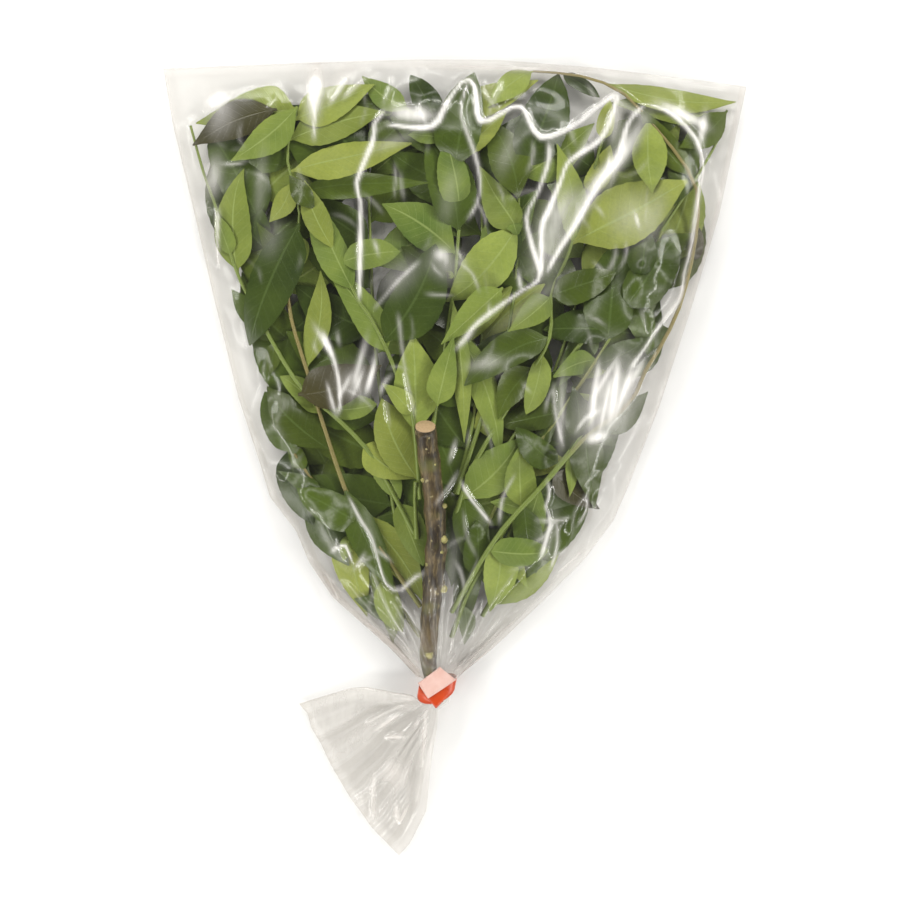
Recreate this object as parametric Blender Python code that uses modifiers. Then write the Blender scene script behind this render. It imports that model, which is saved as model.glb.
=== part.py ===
"""Curry leaf sprigs lying in a clear film bag.

The bag is a flat tube of film, sealed at its far end (+Y), gathered into a neck at -Y and closed
there with a band of tape; its open mouth flares past the tape.  In it lie the woody cut stem and
the compound leaves, each a leaf stalk with leaflets, grown as one piece.  The bag lies on z = 0.

The leaves are laid down one after another, lowest first.  A height map of the pile, in millimetres,
says how high each new piece has to lie to clear what is already there.
"""
import math

import bmesh
import bpy
import numpy as np

MM = 0.001                      # the plans below are in millimetres, the meshes in metres

# Film bag
FILM_THICK = 0.4
BAG_TOP_LEFT = (-112.5, 150.0)  # corners of the sealed end, and the middle of its slight bow
BAG_TOP_MIDDLE = (-14.0, 153.8)
BAG_TOP_RIGHT = (112.5, 143.0)
BAG_LEFT_SIDE = [(-15.3, -84), (-26, -73), (-48, -51.5), (-56.5, -42), (-61, -28), (-72, -15),
                 (-74, -1), (-97, 84), (-112.5, 155)]
BAG_RIGHT_SIDE = [(0.6, -84), (10, -75.5), (29, -56), (48, -39), (65, -12), (78.5, 22.5),
                  (86.5, 50), (101.5, 100), (112.5, 155)]
NECK_START = -84.0              # where the body of the bag ends
EDGE_HEIGHT = 2.2               # the film's fold along its sides and its seal
FILM_CLEARANCE = 1.3            # between the top of the pile and the film's outer face
FILM_SAG = 0.3                  # how far the film sinks between what holds it up
BODY_STATIONS = 18
TOP_COLUMNS = 12

# Neck and mouth
NECK_AXIS_HEIGHT = 4.75
NECK_HALF_WIDTH = 6.0
NECK_HALF_HEIGHT = 3.6
TAPE_WIDTH = 9.0
TAPE_THICK = 0.8
TAPE_GAP = 0.35
TAPE_CENTRE = (-8.0, -90.8)
TAPE_HEADING = 260.0            # degrees from +X, the way the neck runs

# The open mouth past the tape: middle x and y, heading across, half width, height, half height
MOUTH_SECTIONS = [
    (-10.2, -98.6, -22, 8.5, 4.2, 3.4), (-13.6, -101.6, -33, 13.0, 3.9, 3.3),
    (-18.5, -105.6, -42, 19.5, 3.6, 3.2), (-25.0, -112.0, -52, 27.0, 3.3, 3.1),
    (-32.0, -119.0, -56, 31.5, 3.0, 2.9), (-40.5, -126.0, -58, 32.5, 2.2, 2.2),
]

# Main stem, from the neck up to its cut end
STEM_ROUTE = [(-11.2, -76), (-10.4, -63), (-8.6, -48), (-7.6, -30), (-8.6, -14), (-10.6, 1), (-11.8, 12)]
STEM_RADII = [3.4, 3.6, 3.9, 3.7, 3.9, 4.0, 4.2]
STEM_LOW_END = 5.6              # height of its axis at the neck and at the cut end
STEM_HIGH_END = 21.3
STUBS = [(-18.5, 0, 4.6, 1.5), (-30.5, -35, 5.0, 1.8), (-48.5, -20, 5.4, 1.7)]

# Leaves
LEAF_THICK = 0.5
LEAF_GAP = 0.75                 # between the middle of a blade and what it lies on
BLADE_ROWS = [(0.0, 0.0), (0.28, 0.93), (0.60, 0.95), (0.86, 0.42), (1.0, 0.0)]
BLADE_ROOT = 0.5                # half width where the blade leaves its stalk
STALK_BASE_RADIUS = 1.25
STALK_TIP_RADIUS = 0.65
STALK_STEPS = 11
PILE_FLOOR = 1.3                # height of the lowest blade's middle
PILE_CROWN = 15.0               # how much higher the top layer lies where the bag is fullest
CROWN_REACH = 24.0              # how far from the bag's edge the pile comes to its full height
PLAN_SHRINK = 0.985             # draws the plans in a little, to leave room for the film

# Compound leaves, lowest first: name, layer from 0 to 1, route of the stalk, and its leaflets as
# (share of the route, tip x, tip y, width, side up).  A leaflet's side up is "light" for its matt
# underside, "dark" for its glossy upper side, or "brown" for a withered one.
LIGHT, DARK, BROWN = "light", "dark", "brown"
LOW_LEAVES = [
    ("compound_leaf_01", 0.00, [(-34, -40), (-48, -10), (-58, 22), (-69, 60), (-78, 98), (-84, 124)]),
    ("compound_leaf_02", 0.04, [(26, -34), (44, -6), (60, 22), (75, 60), (84, 98), (90, 122)]),
    ("compound_leaf_03", 0.09, [(-24, -22), (-28, 10), (-32, 48), (-34, 92), (-35, 132)]),
    ("compound_leaf_04", 0.14, [(16, -22), (28, 10), (42, 44), (52, 86), (56, 126)]),
    ("compound_leaf_05", 0.19, [(-2, -20), (6, 12), (10, 52), (10, 96), (8, 134)]),
]
PLACED_LEAVES = [
    ("compound_leaf_06", 0.28, [(-14, -70), (-24, -55), (-33, -40), (-44, -24), (-56, -9), (-66, 6)], [
        (0.20, -40, -55, 9, DARK), (0.30, -21, -68, 9, LIGHT), (0.38, -33, -24, 9, LIGHT),
        (0.52, -44, -40, 8, LIGHT), (0.60, -43, -22, 8, LIGHT), (0.66, -50, -21, 8, LIGHT),
        (0.74, -70, -5, 6, DARK), (0.86, -64, 7, 12, DARK), (1.00, -75, 26, 11, DARK)]),
    ("compound_leaf_07", 0.34, [(14, -4), (36, 28), (60, 60), (82, 92), (97, 115), (105, 130)], [
        (0.30, 34, 2, 10, DARK), (0.42, 40, 28, 10, DARK), (0.55, 76, 38, 11, DARK),
        (0.62, 66, 82, 10, DARK), (0.72, 94, 88, 9, DARK), (0.82, 76, 108, 10, DARK),
        (0.92, 93, 126, 11, DARK), (1.00, 60, 139, 9, LIGHT)]),
    ("compound_leaf_08", 0.42, [(4, -46), (16, -18), (38, 14), (57, 42), (68, 64), (80, 88)], [
        (0.14, -4, -12, 11, DARK), (0.48, 16, 13, 10, DARK), (0.55, 45, 28, 10, DARK),
        (0.64, 37, 31, 14, LIGHT), (0.68, 75, 47, 10, DARK), (0.72, 34, 50, 13, DARK),
        (0.76, 57, 76, 14, DARK), (0.82, 71, 80, 10, DARK), (0.88, 82, 87, 15, DARK)]),
    ("compound_leaf_09", 0.50, [(0, -14), (10, 16), (20, 48), (24, 84), (25, 110), (33, 128)], [
        (0.46, 2, 27, 11, DARK), (0.58, 1, 42, 7, LIGHT), (0.66, 30, 67, 8, DARK),
        (0.70, 11, 99, 11, DARK), (0.74, -4, 61, 16, LIGHT), (0.78, 20, 103, 7, LIGHT),
        (0.84, 9, 114, 12, LIGHT), (0.88, 54, 131, 13, LIGHT), (0.94, 12, 133, 14, DARK),
        (1.00, 40, 147, 16, DARK)]),
    ("compound_leaf_10", 0.56, [(-10, 6), (-7, 28), (-3, 52), (0, 78), (1, 104), (-6, 126), (-22, 138)], [
        (0.28, 15, 18, 7, LIGHT), (0.34, 17, -1, 10, LIGHT), (0.40, 3, 6, 7, LIGHT),
        (0.46, -7, 71, 15, LIGHT), (0.56, -29, 99, 15, LIGHT), (0.62, -11, 124, 16, DARK),
        (0.68, -4, 123, 11, LIGHT), (0.78, 20, 136, 9, LIGHT), (0.84, -19, 126, 6, LIGHT),
        (0.88, 13, 145, 14, DARK), (0.94, -22, 149, 10, DARK), (1.00, -43, 139, 9, DARK)]),
    ("compound_leaf_11", 0.62, [(-14, -58), (-21, -48), (-30, -35), (-40, -20), (-48, 1), (-57, 30),
                                (-65, 57), (-65, 76), (-61, 94), (-66, 118), (-62, 136)], [
        (0.36, -67, 12, 4, LIGHT), (0.34, -74, 28, 14, LIGHT), (0.47, -69, 32, 8, LIGHT),
        (0.50, -53, 73, 9, LIGHT), (0.68, -78, 92, 9, DARK), (0.76, -62, 72, 12, LIGHT),
        (0.84, -11, 107, 9, DARK), (0.86, -73, 92, 8, LIGHT), (0.88, -17, 123, 12, LIGHT),
        (0.94, -28, 135, 14, LIGHT), (0.98, -32, 146, 13, LIGHT), (1.00, -102, 131, 17, LIGHT)]),
    ("compound_leaf_12", 0.70, [(-14, -34), (-23, -17), (-33, 1), (-46, 15), (-60, 27), (-70, 42),
                                (-77, 55), (-86, 73), (-94, 98), (-99, 112), (-104, 130)], [
        (0.10, -13, -42, 10, LIGHT), (0.20, -22, -16, 11, LIGHT), (0.24, -16, -8, 17, LIGHT),
        (0.34, -31, 21, 13, LIGHT), (0.52, -73, 33, 9, DARK), (0.56, -88, 66, 8, DARK),
        (0.68, -83, 113, 13, LIGHT), (0.72, -94, 95, 6, LIGHT)]),
    ("compound_leaf_13", 0.76, [(-1, -24), (6, -4), (24, 26), (36, 46), (37, 64), (43, 78), (50, 100),
                                (57, 124)], [
        (0.16, 19, 9, 17, LIGHT), (0.42, 16, 15, 14, DARK), (0.46, 27, 17, 8, LIGHT),
        (0.50, 3, 28, 12, DARK), (0.60, 20, 49, 10, LIGHT), (0.66, 44, 62, 9, DARK),
        (0.70, 65, 80, 10, LIGHT), (0.74, 39, 122, 10, LIGHT), (0.78, 50, 105, 9, LIGHT),
        (0.90, 60, 122, 8, LIGHT), (0.76, 90, 108, 21, LIGHT), (1.00, 60, 140, 6, LIGHT)]),
    ("compound_leaf_14", 0.82, [(-2, -70), (5, -51), (17, -31), (26, -19), (36, -7), (48, 8), (60, 26)], [
        (0.12, 3, -73, 6, DARK), (0.30, 8, -24, 9, DARK), (0.36, 12, -51, 8, LIGHT),
        (0.44, 28, -51, 6, LIGHT), (0.50, 13, -17, 7, LIGHT), (0.54, 25, 6, 11, LIGHT),
        (0.60, 21, -49, 11, LIGHT), (0.66, 53, -23, 10, BROWN), (0.70, 23, 12, 12, DARK),
        (0.74, 44, -15, 4, LIGHT), (0.84, 54, -20, 12, DARK), (0.88, 45, 28, 9, DARK),
        (1.00, 66, 34, 10, DARK)]),
    ("compound_leaf_15", 0.88, [(-14, -16), (-17, 16), (-23, 32), (-28, 44), (-33, 54), (-39, 63),
                                (-43, 84), (-45, 104)], [
        (0.20, -29, 23, 14, LIGHT), (0.26, -17, 48, 16, LIGHT), (0.34, -29, 29, 7, LIGHT),
        (0.46, -52, 76, 11, LIGHT), (0.60, -8, 83, 18, DARK), (0.68, -55, 99, 11, LIGHT),
        (0.78, -22, 80, 12, LIGHT), (0.82, -59, 108, 9, LIGHT), (1.00, -65, 110, 7, DARK)]),
    ("compound_leaf_16", 0.92, [(-2, -60), (16, -30), (34, -10), (50, 8), (67, 21), (74, 35), (81, 46),
                                (88, 62), (93, 84), (94, 102), (89, 114), (77, 129), (64, 142),
                                (48, 148), (30, 149)], [
        (0.34, 75, 26, 10, DARK), (0.62, 95, 90, 5, BROWN), (0.72, 71, 137, 9, DARK),
        (0.82, 76, 103, 12, LIGHT), (0.90, 106, 137, 9, LIGHT), (0.96, 56, 141, 5, DARK),
        (1.00, 12, 137, 9, LIGHT)]),
]
LOOSE_LEAFLETS = [              # name, base, tip, width, side up
    ("leaflet_dark_left", (-61, 91), (-81, 44), 18, DARK),
    ("leaflet_brown_left", (-56, 30), (-30, 31), 17, BROWN),
    ("leaflet_brown_corner", (-70, 136), (-103, 122), 15, BROWN),
    ("leaflet_light_corner", (-62, 137), (-88, 116), 13, LIGHT),
    ("leaflet_light_middle", (18, 66), (-6, 44), 12, LIGHT),
    ("leaflet_light_stem", (-7.5, 20), (-1, 47), 11, LIGHT),
    ("leaflet_corner_right", (104, 134), (92, 124), 11, DARK),
]
LOOSE_STALK = [(-15.6, -9), (-15.9, -16), (-15.5, -24), (-15.1, -31)]
LOOSE_STALK_RADII = [0.8, 0.8, 0.9, 1.2]

COLOURS = {
    "film": (0.90, 0.91, 0.90, 1.0), "tape": (0.80, 0.07, 0.02, 1.0), "bark": (0.09, 0.05, 0.025, 1.0),
    "leaf": (0.10, 0.22, 0.04, 1.0), "light": (0.24, 0.38, 0.10, 1.0), "dark": (0.03, 0.10, 0.02, 1.0),
    "brown": (0.07, 0.05, 0.02, 1.0), "stalk": (0.30, 0.42, 0.06, 1.0),
}


# --- the bag's outline -------------------------------------------------------------------------

def side_x(side, y):
    """X of the bag's left or right edge at a height Y of the plan."""
    return np.interp(y, [point[1] for point in side], [point[0] for point in side])


def seal_y(x):
    """Y of the sealed end at X, a shallow bow between its corners."""
    corners = (BAG_TOP_LEFT, BAG_TOP_MIDDLE, BAG_TOP_RIGHT)
    return np.interp(x, [corner[0] for corner in corners], [corner[1] for corner in corners])


def inset(x, y):
    """Distance from the bag's nearest edge, for points inside it."""
    left = x - side_x(BAG_LEFT_SIDE, y)
    right = side_x(BAG_RIGHT_SIDE, y) - x
    return np.maximum(np.minimum(np.minimum(left, right), seal_y(x) - y), 0.0)


def layer_height(x, y, layer):
    """Height at which a layer of the pile would lie if nothing were in its way."""
    fullness = 1.0 - np.exp(-(inset(x, y) / CROWN_REACH) ** 1.5)
    return PILE_FLOOR + layer * PILE_CROWN * fullness


def stem_height(y):
    """Height of the main stem's axis."""
    low, high = STEM_ROUTE[0][1], STEM_ROUTE[-1][1]
    share = min(max((y - low) / (high - low), 0.0), 1.0)
    return STEM_LOW_END + (STEM_HIGH_END - STEM_LOW_END) * math.sin(share * math.pi / 2)


# --- the pile ------------------------------------------------------------------------------------

class Pile:
    """A height map of what already lies in the bag, on a 1 mm grid."""

    LEFT, FRONT = -120, -100
    SIZE = (240, 262)

    def __init__(self):
        self.height = np.full(self.SIZE, PILE_FLOOR - LEAF_GAP)

    def cell(self, x, y):
        column = np.clip(np.rint(np.asarray(x) - self.LEFT).astype(int), 0, self.SIZE[0] - 1)
        row = np.clip(np.rint(np.asarray(y) - self.FRONT).astype(int), 0, self.SIZE[1] - 1)
        return column, row

    def under(self, x, y):
        """Height of the pile under points of the plan."""
        return self.height[self.cell(x, y)]

    def highest(self, x, y, reach):
        """Highest point of the pile within reach of a point of the plan."""
        column, row = self.cell(x, y)
        span = int(math.ceil(reach))
        window = self.height[max(column - span, 0):column + span + 1, max(row - span, 0):row + span + 1]
        return float(window.max())

    def add(self, net, above):
        """Adds a surface given as rows of points, its top lying `above` over the points."""
        weights = net_weights(net)
        points = weights @ net.reshape(-1, 3)
        column, row = self.cell(points[:, 0], points[:, 1])
        for across in (-1, 0, 1):
            for along in (-1, 0, 1):
                cells = (np.clip(column + across, 0, self.SIZE[0] - 1),
                         np.clip(row + along, 0, self.SIZE[1] - 1))
                np.maximum.at(self.height, cells, points[:, 2] + above)

    def lift(self, net, gap, free_rows=0):
        """Raises a net's points, but for its first rows, until its facets clear the pile by a gap."""
        weights = net_weights(net)
        plan = weights @ net[..., :2].reshape(-1, 2)
        need = self.under(plan[:, 0], plan[:, 1]) + gap
        fixed = free_rows * net.shape[1]
        heights = net[..., 2].reshape(-1).copy()
        movable = weights[:, fixed:]
        counts = movable.sum(axis=1) > 0.5
        weights, need = weights[counts], need[counts]
        for _ in range(120):
            lack = need - weights @ heights
            worst = int(np.argmax(lack))
            if lack[worst] < 0.02:
                break
            pull = weights[worst].copy()
            pull[:fixed] = 0
            heights += lack[worst] * pull / (pull @ pull)
        net[..., 2] = heights.reshape(net.shape[:2])
        return net


def net_weights(net):
    """How much each of a net's points counts at fine steps over its facets."""
    rows, columns = net.shape[:2]
    found = []
    for i in range(rows - 1):
        for j in range(columns - 1):
            corners = net[i:i + 2, j:j + 2, :2]
            long_side = max(np.linalg.norm(corners[0] - corners[1], axis=1).max(),
                            np.linalg.norm(corners[:, 0] - corners[:, 1], axis=1).max())
            steps = int(2 + long_side / 0.8)
            s, t = np.meshgrid(np.linspace(0, 1, steps), np.linspace(0, 1, steps))
            s, t = s.ravel(), t.ravel()
            weights = np.zeros((len(s), rows, columns))
            weights[:, i, j] = (1 - s) * (1 - t)
            weights[:, i + 1, j] = s * (1 - t)
            weights[:, i, j + 1] = (1 - s) * t
            weights[:, i + 1, j + 1] = s * t
            found.append(weights.reshape(len(s), -1))
    return np.vstack(found)


def wobble(leaf, part):
    """A fixed, lively number from -1 to 1 for a part of a leaf."""
    return math.sin(12.9898 * leaf + 78.233 * part + 1.7 * leaf * part)


def smooth_route(route, steps):
    """Points evenly along a Catmull-Rom curve through the route."""
    points = [np.array(point, float) * PLAN_SHRINK for point in route]
    points = [2 * points[0] - points[1]] + points + [2 * points[-1] - points[-2]]
    fine = []
    for p0, p1, p2, p3 in zip(points, points[1:], points[2:], points[3:]):
        for t in np.linspace(0, 1, 12, endpoint=False):
            fine.append(0.5 * (2 * p1 + (p2 - p0) * t + (2 * p0 - 5 * p1 + 4 * p2 - p3) * t ** 2
                               + (3 * p1 - p0 - 3 * p2 + p3) * t ** 3))
    fine.append(points[-2])
    fine = np.array(fine)
    travelled = np.concatenate([[0], np.cumsum(np.linalg.norm(np.diff(fine, axis=0), axis=1))])
    wanted = np.linspace(0, travelled[-1], steps + 1)
    return np.column_stack([np.interp(wanted, travelled, fine[:, axis]) for axis in (0, 1)])


def stalk_line(route, layer, pile):
    """The stalk's points and radii: it starts beside the stem and lies down on the pile."""
    plan = smooth_route(route, STALK_STEPS)
    radii = np.linspace(STALK_BASE_RADIUS, STALK_TIP_RADIUS, len(plan))
    rest = np.array([pile.highest(x, y, 3) + radius + 0.3 for (x, y), radius in zip(plan, radii)])
    heights = np.maximum([layer_height(x, y, layer) for x, y in plan], rest)
    for _ in range(4):
        heights[1:-1] = np.maximum((heights[:-2] + 2 * heights[1:-1] + heights[2:]) / 4, rest[1:-1])
    line = np.column_stack([plan, heights])
    ribbon = pile.lift(stalk_ribbon(line, radii), STALK_BASE_RADIUS + 0.35, free_rows=1)
    line[:, 2] = ribbon[..., 2].max(axis=1)
    return line, radii


def stalk_ribbon(line, radii):
    """The stalk as a narrow net, for the height map."""
    side = np.column_stack([radii, np.zeros_like(radii), np.zeros_like(radii)])
    return np.stack([line - side, line + side], axis=1)


def blade_net(base, tip, width, side, layer, number, pile):
    """Rows of three points, edge, midrib and edge, of a leaflet that clears the pile."""
    base, tip = np.array(base, float), np.array(tip, float)
    forward = tip - base[:2]
    sideways = np.array([-forward[1], forward[0]]) / np.linalg.norm(forward)
    bow = 0.05 * wobble(number, 1)
    roll = 0.10 * wobble(number, 2)
    cup = 0.10 if side == DARK else -0.08
    net = []
    for share, spread in BLADE_ROWS:
        half = width / 2 * spread + (BLADE_ROOT if share == 0 else 0)
        centre = base[:2] + forward * share + sideways * bow * 4 * share * (1 - share) * width
        row = []
        for across in (-1, 0, 1):
            spot = centre + sideways * half * across
            height = base[2]
            if share > 0:
                height = layer_height(*spot, layer) + half * (roll * across + cup * abs(across))
            row.append((*spot, height))
        net.append(row)
    net = pile.lift(np.array(net), LEAF_GAP, free_rows=1)
    net[-1, :, 2] = net[-1, :, 2].max()
    return net


# --- Blender objects -----------------------------------------------------------------------------

def clear_scene():
    for item in list(bpy.data.objects):
        bpy.data.objects.remove(item)


def material(name, roughness=0.5, alpha=1.0):
    if name in bpy.data.materials:
        return bpy.data.materials[name]
    made = bpy.data.materials.new(name)
    made.use_nodes = True
    shader = made.node_tree.nodes["Principled BSDF"]
    shader.inputs["Base Color"].default_value = COLOURS[name]
    shader.inputs["Roughness"].default_value = roughness
    shader.inputs["Metallic"].default_value = 0.0
    shader.inputs["Alpha"].default_value = alpha
    return made


def new_object(name, mesh, collection, finish):
    mesh.materials.clear()
    mesh.materials.append(finish)
    made = bpy.data.objects.new(name, mesh)
    collection.objects.link(made)
    return made


def evaluated_mesh(source):
    """The object's mesh with its modifiers or its bevel made real, welded into one closed body."""
    bpy.context.view_layer.update()
    mesh = bpy.data.meshes.new_from_object(source.evaluated_get(bpy.context.evaluated_depsgraph_get()))
    shape = bmesh.new()
    shape.from_mesh(mesh)
    bmesh.ops.remove_doubles(shape, verts=shape.verts, dist=1e-6)
    shape.to_mesh(mesh)
    shape.free()
    return mesh


def tube(name, points, radii, collection, finish, sides=1):
    """A round tube through points, from a curve with a bevel and filled caps."""
    curve = bpy.data.curves.new(name, "CURVE")
    curve.dimensions = "3D"
    curve.bevel_depth = MM
    curve.bevel_resolution = sides
    curve.use_fill_caps = True
    spline = curve.splines.new("POLY")
    spline.points.add(len(points) - 1)
    for knot, point, radius in zip(spline.points, points, radii):
        knot.co = (*(np.array(point) * MM), 1.0)
        knot.radius = radius
    drawn = bpy.data.objects.new(name, curve)
    collection.objects.link(drawn)
    mesh = evaluated_mesh(drawn)
    bpy.data.objects.remove(drawn)
    return new_object(name, mesh, collection, finish)


def blade(name, net, collection, finish):
    """A leaflet's solid: thickest along its midrib, sharp along its edges and at its tip."""
    shape = bmesh.new()
    half = np.array([0.0, 0.0, LEAF_THICK / 2])
    rings = []
    for left, middle, right in net[:-1]:
        corners = (left, middle + half, right, middle - half)
        rings.append([shape.verts.new(corner * MM) for corner in corners])
    tip = shape.verts.new(net[-1][1] * MM)
    shape.faces.new(rings[0])
    for midrib in (1, 3):
        for edge in (0, 2):
            for ring, following in zip(rings, rings[1:]):
                shape.faces.new((ring[midrib], ring[edge], following[edge], following[midrib]))
            shape.faces.new((rings[-1][midrib], rings[-1][edge], tip))
    bmesh.ops.triangulate(shape, faces=shape.faces, quad_method="FIXED")
    bmesh.ops.recalc_face_normals(shape, faces=shape.faces)
    mesh = bpy.data.meshes.new(name)
    shape.to_mesh(mesh)
    shape.free()
    return new_object(name, mesh, collection, finish)


def join(body, pieces):
    """Makes the body and the pieces that grow from it one solid."""
    group = bpy.data.collections.new("grown_together")
    bpy.context.scene.collection.children.link(group)
    for piece in pieces:
        for holder in piece.users_collection:
            holder.objects.unlink(piece)
        group.objects.link(piece)
    union = body.modifiers.new("union", "BOOLEAN")
    union.operation = "UNION"
    union.operand_type = "COLLECTION"
    union.collection = group
    union.solver = "EXACT"
    mesh = evaluated_mesh(body)
    finish = body.data.materials[0]
    mesh.materials.clear()
    mesh.materials.append(finish)
    body.modifiers.remove(union)
    body.data = mesh
    for piece in pieces:
        bpy.data.objects.remove(piece)
    bpy.data.collections.remove(group)


# --- the sub-parts -------------------------------------------------------------------------------

def low_leaflets(route, number):
    """Leaflets in turn left and right of the stalk, and one at its end, for the leaves underneath."""
    plan = smooth_route(route, 40) / PLAN_SHRINK
    leaflets = []
    for index in range(12):
        share = 0.22 + 0.065 * index
        place = int(share * 40)
        ahead = plan[min(place + 2, 40)] - plan[place - 2]
        heading = math.atan2(ahead[1], ahead[0])
        turn = math.radians(52 + 10 * wobble(number, index)) * (1 if index % 2 else -1)
        length = 34 + 5 * wobble(index, number + 3)
        x = plan[place][0] + length * math.cos(heading + turn)
        y = plan[place][1] + length * math.sin(heading + turn)
        x = min(max(x, side_x(BAG_LEFT_SIDE, y) + 9), side_x(BAG_RIGHT_SIDE, y) - 9)
        leaflets.append((share, x, min(y, seal_y(x) - 8), length * 0.36, DARK if index % 3 else LIGHT))
    return leaflets


def compound_leaf(name, number, layer, route, leaflets, pile, collection):
    line, radii = stalk_line(route, layer, pile)
    stalk = tube(name, line, radii, collection, material("leaf"))
    shares = np.linspace(0, 1, len(line))
    blades = []
    for index, (share, tip_x, tip_y, width, side) in enumerate(leaflets):
        base = [np.interp(share, shares, line[:, axis]) for axis in range(3)]
        tip = (tip_x * PLAN_SHRINK, tip_y * PLAN_SHRINK)
        net = blade_net(base, tip, width, side, layer, 20 * number + index, pile)
        pile.add(net, LEAF_THICK / 2)
        blades.append(blade(f"{name}_{index}", net, collection, material("leaf")))
    pile.add(stalk_ribbon(line, radii), STALK_BASE_RADIUS)
    join(stalk, blades)
    return stalk


def loose_leaflet(name, number, base, tip, width, side, pile, collection):
    base = np.array(base) * PLAN_SHRINK
    height = max(layer_height(base[0], base[1], 1.0), pile.highest(base[0], base[1], 5) + LEAF_GAP)
    net = blade_net((*base, height), np.array(tip) * PLAN_SHRINK, width, side, 1.0, 400 + number, pile)
    pile.add(net, LEAF_THICK / 2)
    return blade(name, net, collection, material(side))


def main_stem(pile, collection):
    heights = [stem_height(y) for _, y in STEM_ROUTE]
    points = [(x, y, z) for (x, y), z in zip(STEM_ROUTE, heights)]
    stem = tube("main_stem", points, STEM_RADII, collection, material("bark"), sides=3)
    stubs = []
    for index, (y, turn, length, radius) in enumerate(STUBS):
        x = float(np.interp(y, [p[1] for p in STEM_ROUTE], [p[0] for p in STEM_ROUTE]))
        way = np.array([math.cos(math.radians(turn)), math.sin(math.radians(turn)), 0.35])
        start = np.array([x, y, stem_height(y)])
        stubs.append(tube(f"stub_{index}", [start, start + way * length], [radius, radius * 0.8],
                          collection, material("bark"), sides=2))
    join(stem, stubs)
    pile.add(stalk_ribbon(np.array(points), np.array(STEM_RADII)), STEM_RADII[-1])
    return stem


def film_rings(pile):
    """Sections of the bag's outer face, each from its left edge over the top and back underneath."""
    shares = np.linspace(0, 1, TOP_COLUMNS + 1)
    shares = 0.5 - 0.5 * np.cos(np.pi * (0.12 + 0.76 * shares)) / math.cos(0.12 * math.pi)
    levels = np.linspace(0, 1, BODY_STATIONS + 1) ** 1.15
    y = np.empty((len(levels), len(shares)))
    x = np.empty_like(y)
    for row, level in enumerate(levels):
        for column, share in enumerate(shares):
            flat_y = NECK_START + level * (152.0 - NECK_START)
            left, right = side_x(BAG_LEFT_SIDE, flat_y), side_x(BAG_RIGHT_SIDE, flat_y)
            x[row, column] = left + share * (right - left)
            y[row, column] = NECK_START + level * (seal_y(x[row, column]) - NECK_START)
    top = lift_film(x, y, shares, levels, pile)
    return x, y, top


def lift_film(x, y, shares, levels, pile):
    """Lets the film settle, smooth, on the pile, and no facet of it lower than the pile."""
    floor = np.full(x.shape, EDGE_HEIGHT)
    floor[0, :] = 2 * NECK_AXIS_HEIGHT - 1 - 4 * np.abs(2 * shares - 1) ** 2
    grid_x, grid_y = np.meshgrid(np.arange(pile.SIZE[0]) + pile.LEFT, np.arange(pile.SIZE[1]) + pile.FRONT,
                                 indexing="ij")
    filled = pile.height > PILE_FLOOR
    px, py = grid_x[filled].astype(float), grid_y[filled].astype(float)
    need = pile.height[filled] + FILM_CLEARANCE
    level = (py - NECK_START) / (seal_y(px) - NECK_START)
    flat_y = NECK_START + level * (152.0 - NECK_START)
    left, right = side_x(BAG_LEFT_SIDE, flat_y), side_x(BAG_RIGHT_SIDE, flat_y)
    share = (px - left) / (right - left)
    inside = (level > 0) & (level < 1) & (share > 0) & (share < 1)
    need, level, share = need[inside], level[inside], share[inside]
    row = np.clip(np.searchsorted(levels, level) - 1, 0, len(levels) - 2)
    column = np.clip(np.searchsorted(shares, share) - 1, 0, len(shares) - 2)
    down = (level - levels[row]) / (levels[row + 1] - levels[row])
    over = (share - shares[column]) / (shares[column + 1] - shares[column])
    weights = [(0, 0, (1 - down) * (1 - over)), (0, 1, (1 - down) * over),
               (1, 0, down * (1 - over)), (1, 1, down * over)]
    patch = row * (len(shares) - 1) + column
    top = floor.copy()
    for step in range(200):
        if step < 160:
            sunk = top.copy()
            sunk[1:-1, 1:-1] = (top[:-2, 1:-1] + top[2:, 1:-1] + top[1:-1, :-2] + top[1:-1, 2:]) / 4 - FILM_SAG
            top = np.maximum(0.5 * top + 0.5 * sunk, floor)
            top[0] = floor[0]
        film = sum(weight * top[row + r, column + c] for r, c, weight in weights)
        lack = np.maximum(need - film, 0)
        order = np.lexsort((-lack, patch))
        worst = order[np.unique(patch[order], return_index=True)[1]]
        worst = worst[lack[worst] > 0]
        share_squares = sum(weight[worst] ** 2 for _, _, weight in weights)
        lift = np.zeros_like(top)
        for r, c, weight in weights:
            np.maximum.at(lift, (row[worst] + r, column[worst] + c), lack[worst] * weight[worst] / share_squares)
        lift[0, :] = 0
        top += lift
    return top


def bag(pile, collection):
    x, y, top = film_rings(pile)
    rings = []
    for row in range(len(x) - 1, -1, -1):
        over = [(x[row, c], y[row, c], top[row, c]) for c in range(x.shape[1])]
        under = [(x[row, c], y[row, c], 0.0) for c in range(x.shape[1] - 1, -1, -1)]
        rings.append(over + under)
    rings += neck_and_mouth(x.shape[1])
    shape = bmesh.new()
    loops = [[shape.verts.new(np.array(point) * MM) for point in ring] for ring in rings]
    count = len(loops[0])
    for upper, lower in zip(loops, loops[1:]):
        for i in range(count):
            shape.faces.new((upper[i], upper[(i + 1) % count], lower[(i + 1) % count], lower[i]))
    half = count // 2
    for i in range(half - 1):
        shape.faces.new((loops[0][i], loops[0][count - 1 - i], loops[0][count - 2 - i], loops[0][i + 1]))
    bmesh.ops.recalc_face_normals(shape, faces=shape.faces)
    mesh = bpy.data.meshes.new("film_bag")
    shape.to_mesh(mesh)
    shape.free()
    made = new_object("film_bag", mesh, collection, material("film", roughness=0.1, alpha=0.25))
    wall = made.modifiers.new("wall", "SOLIDIFY")
    wall.thickness = FILM_THICK * MM
    wall.offset = -1.0
    return made


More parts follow.
